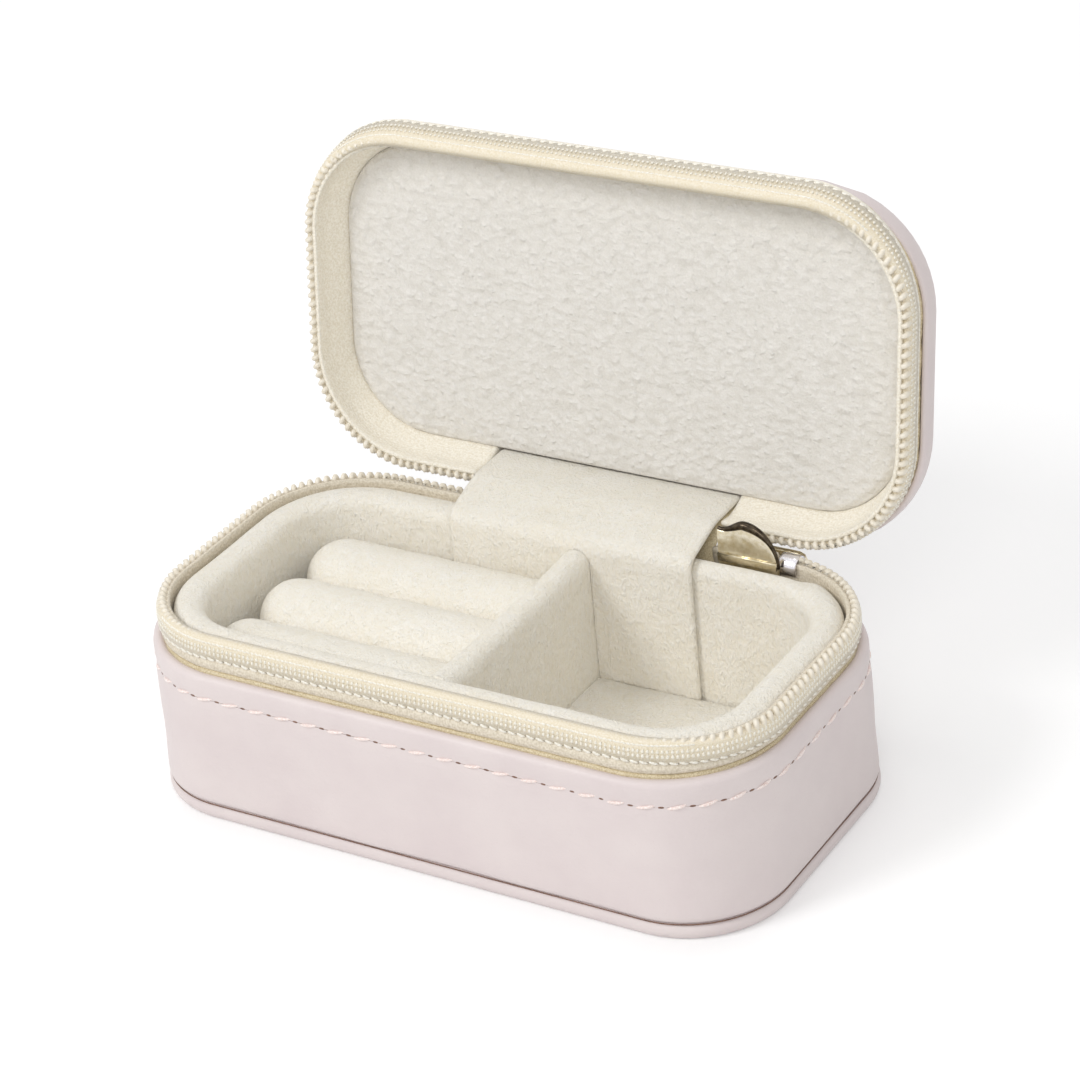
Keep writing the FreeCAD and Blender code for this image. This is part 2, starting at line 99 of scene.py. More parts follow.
class Outline:
    """A rounded rectangle walked from the middle of its rear side, to the right first."""

    def __init__(self, length, width, radius):
        bend = radius * math.pi / 2
        self.radius = radius
        self.x = length / 2 - radius
        self.y = width / 2 - radius
        self.runs = [self.x, bend, 2 * self.y, bend, 2 * self.x, bend, 2 * self.y, bend, self.x]
        self.ends = np.cumsum(self.runs)
        self.around = self.ends[-1]

    def spot(self, distance):
        """The run that a distance falls on, and the share of that run."""
        run = min(int(np.searchsorted(self.ends, distance, side="right")), len(self.runs) - 1)
        return run, 1 - (self.ends[run] - distance) / self.runs[run]

    def place(self, spot):
        """A spot's point and outward direction."""
        run, share = spot
        if run % 2:
            corner_x, corner_y = ((1, 1), (1, -1), (-1, -1), (-1, 1))[run // 2]
            angle = math.pi / 2 * (1 - run // 2 - share)
            out = (math.cos(angle), math.sin(angle))
            return self.x * corner_x + self.radius * out[0], self.y * corner_y + self.radius * out[1], *out
        out_x, out_y = ((0, 1), (1, 0), (0, -1), (-1, 0), (0, 1))[run // 2]
        sides = ((0, self.x), (self.y, -self.y), (self.x, -self.x), (-self.y, self.y), (-self.x, 0))
        start, end = sides[run // 2]
        along = start + (end - start) * share
        if out_x:
            return out_x * (self.x + self.radius), along, out_x, out_y
        return along, out_y * (self.y + self.radius), out_x, out_y


CASE = Outline(CASE_LENGTH, CASE_WIDTH, CORNER_RADIUS)
FOOT = Outline(CASE_LENGTH - 2 * FOOT_DRAFT, CASE_WIDTH - 2 * FOOT_DRAFT, FOOT_RADIUS)
LIP = Outline(CASE_LENGTH - 2 * LIP_INSET, CASE_WIDTH - 2 * LIP_INSET, FOOT_RADIUS + FOOT_DRAFT - LIP_INSET)


def walk(step, start=0.0, end=None):
    """Evenly spaced spots along the case's outline; all the way round, without repeating the first."""
    whole = end is None
    length = CASE.around if whole else end - start
    count = max(2, round(length / step))
    return [CASE.spot(start + length * number / count) for number in range(count + (0 if whole else 1))]


def at(spot, inset, level, outline=CASE):
    """A point inside an outline's spot, at a level."""
    x, y, out_x, out_y = outline.place(spot)
    return x - out_x * inset, y - out_y * inset, level


def front_share(spot):
    """1 along the case's front, falling to 0 round its corners."""
    return max(0.0, -CASE.place(spot)[3]) ** 2


def opened(points):
    """Points of the shut lid, turned open about the hinge line."""
    points = np.asarray(points, float)
    back = points[:, 1] - HINGE_Y
    up = points[:, 2] - SPLIT
    turned = points.copy()
    turned[:, 1] = HINGE_Y + back * math.cos(OPEN_ANGLE) + up * math.sin(OPEN_ANGLE)
    turned[:, 2] = SPLIT - back * math.sin(OPEN_ANGLE) + up * math.cos(OPEN_ANGLE)
    return turned


def make(name, points, faces, finish, body, slot, shut=False, stands_for=()):
    """A smooth mesh piece that rides on a body; a shut lid's piece is turned open first."""
    points = opened(points) if shut else np.asarray(points, float)
    mesh = bpy.data.meshes.new(name)
    mesh.from_pydata((points * MILLI).tolist(), [], faces)
    mesh.validate()
    mesh.shade_smooth()
    mesh.materials.append(finish)
    piece = bpy.data.objects.new(name, mesh)
    bpy.context.scene.collection.objects.link(piece)
    face_outward(mesh)
    if body:
        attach(piece, body)
    if stands_for:
        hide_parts(*stands_for)
    return piece


def face_outward(mesh):
    """Turn every face outward, shell by shell."""
    work = bmesh.new()
    work.from_mesh(mesh)
    bmesh.ops.recalc_face_normals(work, faces=work.faces)
    work.to_mesh(mesh)
    work.free()


def band(rows, ring, loop=True):
    """Faces over a grid of points: ring joins the last row to the first, loop closes each row.
    Without ring, the first and last rows are closed with a face each."""
    count = len(rows)
    width = len(rows[0])
    points = [point for row in rows for point in row]
    faces = []
    for row in range(count if ring else count - 1):
        below = row * width
        above = (row + 1) % count * width
        for column in range(width if loop else width - 1):
            beside = (column + 1) % width
            faces.append((below + column, below + beside, above + beside, above + column))
    if not ring:
        faces.append(tuple(range(width)))
        faces.append(tuple((count - 1) * width + column for column in range(width)))
    return points, faces


def tube(path, radii, sides=8, across=(0.0, 0.0, 1.0)):
    """A round tube along points, with a radius at each."""
    path = np.asarray(path, float)
    heading = np.gradient(path, axis=0)
    heading /= np.linalg.norm(heading, axis=1)[:, None]
    first = np.cross(heading, across)
    first /= np.linalg.norm(first, axis=1)[:, None]
    second = np.cross(heading, first)
    angles = 2 * np.pi * np.arange(sides) / sides
    rows = []
    for point, one, two, radius in zip(path, first, second, radii):
        rows.append(point + radius * (np.cos(angles)[:, None] * one + np.sin(angles)[:, None] * two))
    return band(rows, False)


def gather(shells):
    """Several shells as one list of points and faces."""
    points = []
    faces = []
    for shell_points, shell_faces in shells:
        shift = len(points)
        points.extend(shell_points)
        faces.extend(tuple(corner + shift for corner in face) for face in shell_faces)
    return points, faces


def bead(centre, axes, rings=4, sides=8):
    """A small rounded lump with three half-length vectors and blunt ends."""
    blunt = 0.08
    centre = np.asarray(centre, float)
    long, wide, high = (np.asarray(axis, float) for axis in axes)
    rows = []
    for ring in range(rings + 1):
        tilt = math.pi * (blunt + (1 - 2 * blunt) * ring / rings)
        row = []
        for side in range(sides):
            turn = 2 * math.pi * side / sides
            across = wide * math.cos(turn) + high * math.sin(turn)
            row.append(centre - long * math.cos(tilt) + across * math.sin(tilt))
        rows.append(row)
    return band(rows, False)


def ripple(point, grain, size, seed=0.0):
    """Smooth unevenness of a surface."""
    place = Vector(point) / grain + Vector((seed, seed * 1.7, seed * 0.6))
    return size * noise.noise(place)


def smooth(share):
    """A soft step from 0 to 1."""
    share = min(1.0, max(0.0, share))
    return share * share * (3 - 2 * share)


def fold_corner(inset, level, radius, start, end, steps=6):
    """Points of a rounded edge round a centre, between two angles measured from straight outward."""
    turns = [math.radians(start + (end - start) * step / steps) for step in range(steps + 1)]
    return [(inset - radius * math.cos(turn), level + radius * math.sin(turn)) for turn in turns]


# Node trees

class Wire:
    """A socket of a finish; arithmetic on it adds Math nodes."""

    def __init__(self, finish, socket):
        self.finish = finish
        self.socket = socket

    def maths(self, operation, first, second):
        return self.finish.node("Math", {"operation": operation}, {0: first, 1: second})

    def __add__(self, other):
        return self.maths("ADD", self, other)

    def __radd__(self, other):
        return self.maths("ADD", other, self)

    def __sub__(self, other):
        return self.maths("SUBTRACT", self, other)

    def __rsub__(self, other):
        return self.maths("SUBTRACT", other, self)

    def __mul__(self, other):
        return self.maths("MULTIPLY", self, other)

    def __rmul__(self, other):
        return self.maths("MULTIPLY", other, self)

    def highest(self, other):
        return self.maths("MAXIMUM", self, other)


class Finish:
    """A material, or the world, written as expressions."""

    def __init__(self, name, owner=None):
        self.owner = owner or bpy.data.materials.new(name)
        self.owner.use_nodes = True
        self.tree = self.owner.node_tree
        self.tree.nodes.clear()

    def node(self, kind, settings=None, sockets=None, output=0):
        """Any node: its settings first, then the values or links of its sockets."""
        made = self.tree.nodes.new("ShaderNode" + kind)
        for name, value in (settings or {}).items():
            setattr(made, name, value)
        for name, value in (sockets or {}).items():
            if isinstance(value, Wire):
                self.tree.links.new(value.socket, made.inputs[name])
            else:
                made.inputs[name].default_value = value
        return Wire(self, made.outputs[output]) if made.outputs else None

    def place(self):
        """A point's place on the piece, in millimetres."""
        spot = self.node("TexCoord", output="Object")
        return self.node("VectorMath", {"operation": "SCALE"}, {0: spot, "Scale": 1 / MILLI})

    def stretch(self, place, shares):
        """A place scaled along each axis, so that what follows it grows longer where the share is small."""
        return self.node("VectorMath", {"operation": "MULTIPLY"}, {0: place, 1: shares})

    def grain(self, place, size, detail=2.0, roughness=0.5):
        """Soft noise from 0 to 1 with lumps of a size in millimetres."""
        sockets = {"Vector": place, "Scale": 1 / size, "Detail": detail, "Roughness": roughness}
        return self.node("TexNoise", None, sockets)

    def cells(self, place, size, feature="F1"):
        """Distance to the nearest of scattered points, about a size apart."""
        return self.node("TexVoronoi", {"feature": feature}, {"Vector": place, "Scale": 1 / size}, "Distance")

    def spread(self, value, low, high):
        """A value brought to 0 at low and 1 at high."""
        return self.node("MapRange", None, {"Value": value, "From Min": low, "From Max": high})

    def mix(self, factor, first, second):
        """One colour turning into another."""
        return self.node("Mix", {"data_type": "RGBA"}, {0: factor, 6: first, 7: second}, 2)

    def bump(self, height, depth, normal=None):
        """A height from 0 to 1 as relief of a depth in millimetres."""
        sockets = {"Height": height, "Distance": depth * MILLI}
        if normal:
            sockets["Normal"] = normal
        return self.node("Bump", None, sockets)

    def seen(self):
        """1 for what is seen straight, mirrored or through glass, and 0 for light on its way to a piece."""
        camera = self.node("LightPath", output="Is Camera Ray")
        glossy = self.node("LightPath", output="Is Glossy Ray")
        through = self.node("LightPath", output="Is Transmission Ray")
        return camera.highest(glossy.highest(through))

    def surface(self, sockets):
        """Close the material with one surface shader."""
        shader = self.node("BsdfPrincipled", None, sockets)
        self.node("OutputMaterial", None, {"Surface": shader})
        return self.owner


def colour(red, green, blue):
    """A colour from its values out of 255 as seen on a screen."""
    seen = [value / 255 for value in (red, green, blue)]
    linear = [((value + 0.055) / 1.055) ** 2.4 if value > 0.04045 else value / 12.92 for value in seen]
    return (*linear, 1.0)


def blush_leatherette():
    finish = Finish("blush_leatherette")
    place = finish.place()
    pores = finish.cells(place, 0.55)
    cloudy = finish.grain(place, 9.0)
    fine = finish.grain(place, 0.22, 3.0)
    body = finish.mix(finish.spread(cloudy, 0.3, 0.7), colour(225, 214, 212), colour(220, 208, 207))
    body = finish.mix(finish.spread(pores, 0.0, 0.14), colour(214, 200, 199), body)
    relief = finish.bump(pores * 0.6 + fine * 0.5, 0.035)
    return finish.surface({
        "Base Color": body, "Roughness": 0.4 + fine * 0.14, "Normal": relief,
        "Specular IOR Level": 0.42,
    })


def cream_velvet():
    finish = Finish("cream_velvet")
    place = finish.place()
    combed = finish.stretch(place, (1.0, 1.0, 0.4))
    lumps = finish.grain(place, 1.5, 4.0, 0.62)
    nap = finish.grain(combed, 0.34, 3.0, 0.7)
    brushed = finish.grain(place, 7.0, 2.0)
    shade = finish.spread(lumps * 0.3 + nap * 0.6 + brushed * 0.2, 0.4, 0.7)
    body = finish.mix(shade, colour(248, 241, 225), colour(255, 252, 245))
    relief = finish.bump(lumps, 0.35, finish.bump(nap, 0.4))
    return finish.surface({
        "Base Color": body, "Roughness": 0.92, "Normal": relief, "Specular IOR Level": 0.1,
        "Sheen Weight": 0.25, "Sheen Roughness": 0.45, "Sheen Tint": colour(250, 246, 235),
    })


def lid_suede():
    finish = Finish("lid_suede")
    place = finish.place()
    stray = finish.node("TexNoise", None, {"Vector": place, "Scale": 0.9, "Detail": 2.0}, "Color")
    bent = finish.node("VectorMath", {"operation": "ADD"}, {0: place, 1: stray})
    pebbles = finish.cells(finish.stretch(bent, (0.75, 1.0, 1.0)), 0.95, "SMOOTH_F1")
    nap = finish.grain(place, 0.3, 3.0, 0.65)
    shade = finish.spread(nap * 0.7 - pebbles * 0.45, -0.1, 0.4)
    body = finish.mix(shade, colour(219, 215, 207), colour(239, 236, 231))
    relief = finish.bump(1.0 - pebbles, 0.42, finish.bump(nap, 0.16))
    return finish.surface({
        "Base Color": body, "Roughness": 0.9, "Normal": relief, "Specular IOR Level": 0.12,
        "Sheen Weight": 0.2, "Sheen Roughness": 0.5, "Sheen Tint": colour(248, 244, 236),
    })


def zip_tape(name, light, deep):
    finish = Finish(name)
    place = finish.place()
    threads = finish.grain(place, 0.3, 2.0)
    knit = finish.cells(finish.stretch(place, (0.45, 1.0, 1.0)), 0.4)
    body = finish.mix(finish.spread(threads, 0.35, 0.65), colour(*deep), colour(*light))
    relief = finish.bump(threads * 0.5 + knit * 0.6, 0.14)
    return finish.surface({
        "Base Color": body, "Roughness": 0.62, "Normal": relief,
        "Sheen Weight": 0.15, "Sheen Roughness": 0.4, "Specular IOR Level": 0.3,
    })


def zip_coil():
    finish = Finish("zip_coil")
    place = finish.place()
    worn = finish.grain(place, 0.8, 2.0)
    body = finish.mix(finish.spread(worn, 0.3, 0.7), colour(230, 221, 203), colour(240, 233, 219))
    return finish.surface({
        "Base Color": body, "Roughness": 0.26 + worn * 0.12, "Normal": finish.bump(worn, 0.03),
        "Specular IOR Level": 0.5, "Coat Weight": 0.15, "Coat Roughness": 0.2,
    })


def sewing_thread(name, light, deep):
    finish = Finish(name)
    place = finish.place()
    strands = finish.grain(place, 0.18, 2.0)
    body = finish.mix(finish.spread(strands, 0.35, 0.65), colour(*deep), colour(*light))
    return finish.surface({
        "Base Color": body, "Roughness": 0.42, "Normal": finish.bump(strands, 0.06),
        "Sheen Weight": 0.3, "Sheen Roughness": 0.3, "Specular IOR Level": 0.5,
    })


def polished_metal(name, light, deep, dimple_depth=0.05):
    finish = Finish(name)
    place = finish.place()
    dimples = finish.grain(place, 0.9, 3.0)
    scratches = finish.grain(place, 0.15, 2.0)
    body = finish.mix(finish.spread(dimples, 0.35, 0.65), colour(*deep), colour(*light))
    relief = finish.bump(dimples, dimple_depth)
    return finish.surface({
        "Base Color": body, "Roughness": 0.16 + scratches * 0.14, "Metallic": 1.0, "Normal": relief,
    })


def stiff_board():
    finish = Finish("stiff_board")
    place = finish.place()
    fibres = finish.grain(place, 0.6, 4.0)
    body = finish.mix(finish.spread(fibres, 0.3, 0.7), colour(150, 138, 118), colour(196, 184, 162))
    return finish.surface({"Base Color": body, "Roughness": 0.9, "Normal": finish.bump(fibres, 0.05)})


LEATHER = blush_leatherette()
VELVET = cream_velvet()
SUEDE = lid_suede()
# The base's tape is the lid's tape made darker: painted shade for tape recessed under the coil
SHADED_BASE_TAPE = zip_tape("base_zip_tape", (231, 222, 205), (208, 197, 176))
LID_TAPE = zip_tape("lid_zip_tape", (251, 246, 234), (237, 229, 211))
COIL = zip_coil()
CHAIN_THREAD = sewing_thread("chain_thread", (250, 248, 240), (232, 224, 206))
SEAM_THREAD = sewing_thread("seam_thread", (255, 247, 243), (236, 212, 204))
COIL_CORE = sewing_thread("coil_core", (237, 228, 210), (224, 211, 182))
# Golden colour painted as the shadow on the tape beside the leather; the hinge's lining strip in its gap
# takes it as painted shade too
TAPE_SHADE_GOLD = sewing_thread("tape_edge", (228, 216, 186), (194, 177, 138))
# Dark brown painted as shade: in the needle holes, in the groove under the seam and in the crease above the
# lip
PAINTED_SEAM_SHADE = sewing_thread("painted_seam_shade", (140, 104, 84), (96, 66, 52))
METAL = polished_metal("pale_gold_metal", (228, 220, 200), (208, 195, 164))
PULL_METAL = polished_metal("pull_tab_metal", (226, 217, 196), (220, 210, 187), 0.006)
SHADED_RIM_METAL = polished_metal("shaded_rim_metal", (96, 86, 72), (58, 50, 42))
SILVER = polished_metal("silver_nose_metal", (242, 240, 244), (222, 219, 224))
BOARD = stiff_board()


# Base outside

WALL_STEPS = 34
WALL_CLEAR = 0.05
WALL_BELLY = 0.2
FOOT_SWELL = 0.5
FOOT_SWELL_HEIGHT = 9.0
FOOT_ROLL = 0.5
FOOT_ROLL_HEIGHT = 0.4
FOLD_ROUND = 0.95
FOLD_TUCK = 2.2
SEAM_DROP = 3.7
SEAM_PITCH = 4.3
SEAM_START = 0.2
SEAM_LENGTH = 2.9
SEAM_STEPS = 7
SEAM_RADIUS = 0.24
SEAM_SLANT = 0.5
SEAM_ARCH = 0.3
SEAM_SINK = 0.16
SEAM_LINE_RADIUS = 0.07
GROOVE_DEPTH = 0.2
GROOVE_WIDTH = 0.75
CREASE_RISE = 0.08
CREASE_OUT = 0.28
CREASE_RADIUS = 0.09
LINE_POINTS = 300
# Half length, half height and half depth of the dark bead painted as the shade in a needle hole
HOLE_HALF = (0.5, 0.2, 0.1)
LIP_ROUND = 1.05
LIP_REACH = 6.0
SKIN = 0.02


def wall_spot(spot, level, outward=0.0):
    """A point on the wall's outer face, which runs from the foot's outline up to the case's."""
    share = (level - LIP_TOP) / (WALL_TOP - LIP_TOP)
    foot = np.array(FOOT.place(spot))
    top = np.array(CASE.place(spot))
    x, y, out_x, out_y = foot + (top - foot) * share
    return x + out_x * outward, y + out_y * outward, level


def wall_swell(level):
    """How far the soft leather stands out from the straight wall at a level."""
    share = (level - LIP_TOP) / (WALL_TOP - LIP_TOP)
    below_edge = (level - (WALL_TOP - SEAM_DROP)) / GROOVE_WIDTH
    belly = WALL_BELLY * math.sin(math.pi * min(1, max(0, share))) ** 1.5
    foot = FOOT_SWELL * (1 - smooth((level - LIP_TOP) / FOOT_SWELL_HEIGHT))
    return belly + foot - GROOVE_DEPTH * math.exp(-below_edge * below_edge)


def leather_wall():
    """Wall cover with its folded top edge, the groove of the seam and a rolled foot."""
    low = LIP_TOP + WALL_CLEAR
    high = WALL_TOP - FOLD_ROUND
    fold = fold_corner(FOLD_ROUND, high, FOLD_ROUND, 0, 160)[1:]
    rows = []
    for spot in walk(1.0):
        row = []
        for step in range(WALL_STEPS + 1):
            share = step / WALL_STEPS
            level = low + (high - low) * share
            foot_roll = FOOT_ROLL * math.exp(-((level - LIP_TOP) / FOOT_ROLL_HEIGHT) ** 2)
            uneven = ripple(wall_spot(spot, level), 14.0, 0.16)
            row.append(wall_spot(spot, level, wall_swell(level) - foot_roll + uneven * (1 - share)))
        row += [at(spot, inset, level) for inset, level in fold]
        row += [at(spot, TAPE_FACE - SKIN, level) for level in (WALL_TOP - FOLD_TUCK, low)]
        rows.append(row)
    make("base_leather_wall", *band(rows, True), LEATHER, "base", "blush_leatherette",
         stands_for=["base_wall_cover"])


def wall_seam():
    """The row of slanted stitches below the folded edge, with a dark bead painted as the shade in a needle
    hole between each two of them, and thin dark lines painted as the shade in the groove under the seam and
    the crease above the lip."""
    threads = []
    shade_marks = []
    level = WALL_TOP - SEAM_DROP
    surface = wall_swell(level)
    count = round(CASE.around / SEAM_PITCH)
    long, tall, deep = HOLE_HALF
    for number in range(count):
        start = (number + SEAM_START) * CASE.around / count
        path = []
        radii = []
        for step in range(SEAM_STEPS + 1):
            share = step / SEAM_STEPS
            lift = SEAM_ARCH * math.sin(math.pi * share) ** 0.6 - SEAM_SINK
            slant = SEAM_SLANT * (0.5 - share)
            spot = CASE.spot((start + SEAM_LENGTH * share) % CASE.around)
            path.append(wall_spot(spot, level + slant, surface + lift))
            radii.append(SEAM_RADIUS * (0.55 + 0.45 * math.sin(math.pi * share)))
        threads.append(tube(path, radii))
        # A dark bead painted as the shade inside the needle hole
        spot = CASE.spot((start + SEAM_LENGTH + (SEAM_PITCH - SEAM_LENGTH) / 2) % CASE.around)
        out_x, out_y = CASE.place(spot)[2:]
        axes = ((-out_y * long, out_x * long, 0), (0, 0, tall), (out_x * deep, out_y * deep, 0))
        shade_marks.append(bead(wall_spot(spot, level, surface - SKIN), axes))
    # Thin dark lines painted as the shade in the groove under the seam and in the crease above the lip
    around = [CASE.spot(CASE.around * number / LINE_POINTS) for number in range(LINE_POINTS)]
    under_seam = [wall_spot(spot, level, surface - 0.03) for spot in around]
    crease = [wall_spot(spot, LIP_TOP + CREASE_RISE, CREASE_OUT) for spot in around]
    for line, radius in ((under_seam, SEAM_LINE_RADIUS), (crease, CREASE_RADIUS)):
        shade_marks.append(tube(line + line[:1], [radius] * (LINE_POINTS + 1), 6))
    make("base_seam_threads", *gather(threads), SEAM_THREAD, "base", "blush_leatherette")
    make("base_seam_painted_shade", *gather(shade_marks), PAINTED_SEAM_SHADE, "base", "blush_leatherette")


def bottom_panel():
    """Bottom cover with a rounded lip that stands out past the wall."""
    middle = LIP_TOP / 2
    edge = fold_corner(LIP_ROUND, middle, LIP_ROUND, -80, 80, 10)
    edge = [(inset, middle + (level - middle) * (middle / LIP_ROUND)) for inset, level in edge]
    section = [(LIP_REACH, SKIN)] + edge + [(LIP_REACH, LIP_TOP - SKIN)]
    rows = [[at(spot, inset, level, LIP) for inset, level in section] for spot in walk(1.2)]
    points, faces = band(rows, True, loop=False)
    faces.append(tuple(range(0, len(points), len(section))))
    faces.append(tuple(range(len(section) - 1, len(points), len(section))))
    make("base_leather_bottom", points, faces, LEATHER, "base", "blush_leatherette",
         stands_for=["base_bottom_cover"])


# Zip. Levels are measured from the split between base and lid, towards the leather.

TOOTH_PITCH = 1.43
ZIP_END = STRIP_HALF + 0.4
ZIP_STEP = 0.8
FRONT_LEAN = math.radians(12.0)
# The lid's row curls out at its sewn side
CURL = 1.4
CURL_LEVEL = 3.6
CURL_FALL = 2.6
LID_TAPE_REACH = 9.0
# Tape: it swells beside the coil, and on the lid it is tucked in under the panel
TAPE_RIBS = 20
TAPE_EASE = 0.5
TAPE_SWELL = 1.0
SWELL_START = 3.5
SWELL_RISE = 0.6
SWELL_END = 4.5
SWELL_FALL = 1.2
LID_TUCK = 1.75
TUCK_START = 3.0
TUCK_RUN = 4.0
# Coil, and the core that it is wound on
COIL_FACE = 0.9
COIL_STEPS = 14
COIL_ACROSS = (0.31, 0.17, 0.93)
WIRE = 0.44
HEAD_TAPER = 0.18
CORE_FACE = 0.94
CORE_RISE = 0.2
CORE_BEVEL = (0.2, 0.3)
HEAD_REACH = 1.15
# Along the front the coil is narrower, sunk into its core, and covered up to its top
FRONT_NARROW = 0.6
FRONT_SUNK = 0.16
FRONT_COVER = 0.9
# Golden cord painted as the shadow on the tape beside the leather, with a wavering radius
SHADE_LINE_REACH = 0.3
SHADE_LINE_DROP = 0.15
SHADE_LINE_RADIUS = 0.5
# Rows of sewing thread: level, half length, half height, half depth, inset, stitches per tooth
CHAIN_ROWS = (
    (3.75, 0.66, 0.3, 0.3, 1.15, 1),
    (2.6, 0.19, 0.34, 0.17, 0.93, 2),
    (1.7, 0.19, 0.32, 0.17, 0.93, 2),
)
# The row along the free edge, only where the coil is covered
FREE_EDGE_ROW = (0.8, 0.36, 0.15, 0.16, 0.95, 2)
FREE_EDGE_SHARE = 0.6
STITCH_SLANT = 0.3
STITCH_LEAN = 0.08


def zip_point(side, spot, inset, level):
    """A point of a zip row. The row leans inward along the front, and the lid's row curls out there."""
    leather_edge = SPLIT - WALL_TOP
    front = front_share(spot)
    inset += front * math.tan(FRONT_LEAN) * max(0.0, leather_edge - level)
    if side < 0:
        inset -= front * CURL * smooth(level / CURL_LEVEL) * (1 - smooth((level - CURL_LEVEL) / CURL_FALL))
    return at(spot, inset, SPLIT - side * level)


def zip_spots(step):
    return walk(step, ZIP_END, CASE.around - ZIP_END)


def tape_section(side, spot, reach):
    """The woven tape's outer face, and then its inner face back again."""
    top = SPLIT - TAPE_TOP + TAPE_EASE
    start = SWELL_START - FRONT_NARROW * front_share(spot)
    outer = []
    inner = []
    for rib in range(TAPE_RIBS + 1):
        level = reach + (top - reach) * rib / TAPE_RIBS
        fall = 1 - smooth((level - SWELL_END) / SWELL_FALL)
        swell = TAPE_SWELL * smooth((level - start) / SWELL_RISE) * fall
        outer.append(zip_point(side, spot, TAPE_FACE - swell, level))
        tuck = LID_TUCK * min(1.0, max(0.0, (level - TUCK_START) / TUCK_RUN)) ** 1.5 if side < 0 else 0.0
        inner.append(zip_point(side, spot, TAPE_BACK + tuck, level))
    return outer + inner[::-1]


def core_section(side, spot):
    """The core inside the coil, with a bevelled top edge."""
    front = front_share(spot)
    top = SPLIT - COIL_TOP + HEAD_REACH * (1 - FRONT_COVER * front)
    low = SPLIT - COIL_LOW - CORE_RISE - FRONT_NARROW * front
    back = TAPE_FACE - 0.01
    bevel_in, bevel_down = CORE_BEVEL
    face = [(CORE_FACE, low), (CORE_FACE, top + bevel_down), (CORE_FACE + bevel_in, top)]
    section = face + [(back, top), (back, low)]
    return [zip_point(side, spot, inset, level) for inset, level in section]


def coil_wire(side, pitch, turns):
    """The nylon wire's path round its core, and its radii, which taper at the teeth's heads."""
    high = SPLIT - COIL_TOP + WIRE
    low = SPLIT - COIL_LOW - WIRE
    outer = COIL_FACE + WIRE
    inner = TAPE_FACE - WIRE * 0.6
    offset = 0.0 if side > 0 else 0.5
    path = []
    radii = []
    for number in range((turns - 1) * COIL_STEPS):
        turn = number / COIL_STEPS + offset
        angle = 2 * math.pi * number / COIL_STEPS
        reach = math.cos(angle)
        depth = math.sin(angle)
        squared = math.copysign(abs(depth) ** 0.6, depth)
        spot = CASE.spot(ZIP_END + pitch * (turn + 0.5 - offset * 0.5))
        front = front_share(spot)
        span = low - high - FRONT_NARROW * front
        level = high + (1 - reach) * span / 2
        inset = (outer + inner) / 2 - squared * (inner - outer) / 2 + FRONT_SUNK * front
        path.append(zip_point(side, spot, inset, level))
        radii.append(WIRE * (1 - HEAD_TAPER * max(0.0, reach) ** 4))
    return path, radii


def sewn_row(side, row, pitch, turns):
    """The stitches of one row of sewing thread along the zip."""
    level, half_length, half_height, half_depth, inset, count = row
    up = np.array((0.0, 0.0, 1.0)) * side
    stitches = []
    for number in range(count * (turns - 1)):
        spot = CASE.spot(ZIP_END + pitch * (number / count + 0.75))
        front = front_share(spot)
        if row is FREE_EDGE_ROW and front < FREE_EDGE_SHARE:
            continue
        out_x, out_y = CASE.place(spot)[2:]
        along = np.array((out_y, -out_x, 0.0))
        out = np.array((out_x, out_y, 0.0))
        raised = level - FRONT_NARROW * front * smooth((level - 1.0) / 2.75)
        centre = zip_point(side, spot, inset, raised)
        slant = along * half_length + up * STITCH_SLANT * half_length
        stitches.append(bead(centre, (slant, up * half_height - along * STITCH_LEAN, out * half_depth), 4, 6))
    return stitches


def zip_row(name, side, body, tape_reach, tape):
    """One half of the zip: woven tape, a nylon coil on its core, a golden cord painted as the shadow on the
    tape beside the leather, and the sewing threads. side is 1 on the base and -1 on the lid."""
    shut = side < 0
    length = CASE.around - 2 * ZIP_END
    turns = round(length / TOOTH_PITCH)
    pitch = length / turns
    rows = [tape_section(side, spot, tape_reach) for spot in zip_spots(ZIP_STEP)]
    make(name + "_tape", *band(rows, False), tape, body, "zip_tape", shut, [name.replace("row", "zip_tape")])
    rows = [core_section(side, spot) for spot in zip_spots(ZIP_STEP)]
    make(name + "_core", *band(rows, False), COIL_CORE, body, "zip_coil", shut)
    coil = tube(*coil_wire(side, pitch, turns), 7, COIL_ACROSS)
    make(name + "_coil", *coil, COIL, body, "zip_coil", shut, [name.replace("row", "zip_coil")])
    # Golden cord along the leather's edge: painted shadow on the tape
    shade_line_level = SPLIT - WALL_TOP + SHADE_LINE_DROP
    edge = [zip_point(side, spot, TAPE_FACE - SHADE_LINE_REACH, shade_line_level) for spot in zip_spots(0.5)]
    shade_line_girth = [SHADE_LINE_RADIUS + ripple(point, 2.8, 0.16) + ripple(point, 0.53, 0.12) for point in edge]
    make(name + "_edge", *tube(edge, shade_line_girth, 6), TAPE_SHADE_GOLD, body, "zip_tape", shut)
    chain = []
    for row in CHAIN_ROWS + (FREE_EDGE_ROW,):
        chain += sewn_row(side, row, pitch, turns)
    make(name + "_chain", *gather(chain), CHAIN_THREAD, body, "zip_tape", shut)


# Tray

RIM_SWELL = 1.7
FRONT_EASE = 0.4
RIM_CROWN = 2.3
RIM_STEPS = 16
RIM_SPRING = (14.0, 22.5)
# Where the rim starts to make room for the slider, and the lengths over which it does
SLIDER_LEFT = 12.0
LEFT_EASE = 6.0
SLIDER_RIGHT = 36.5
RIGHT_EASE = 4.0
SLIDER_FRONT = 18.0
REAR_EASE = 4.0
FLOOR_GAP = 0.35
FLOOR_CROWN = 0.5
# The divider's top sags at its middle and rises at its two ends
DIVIDER_SAG = 0.35
SAG_HALF = 19.0
DIVIDER_FLARE = 0.3
FLARE_START = 15.5
FLARE_RUN = 4.0
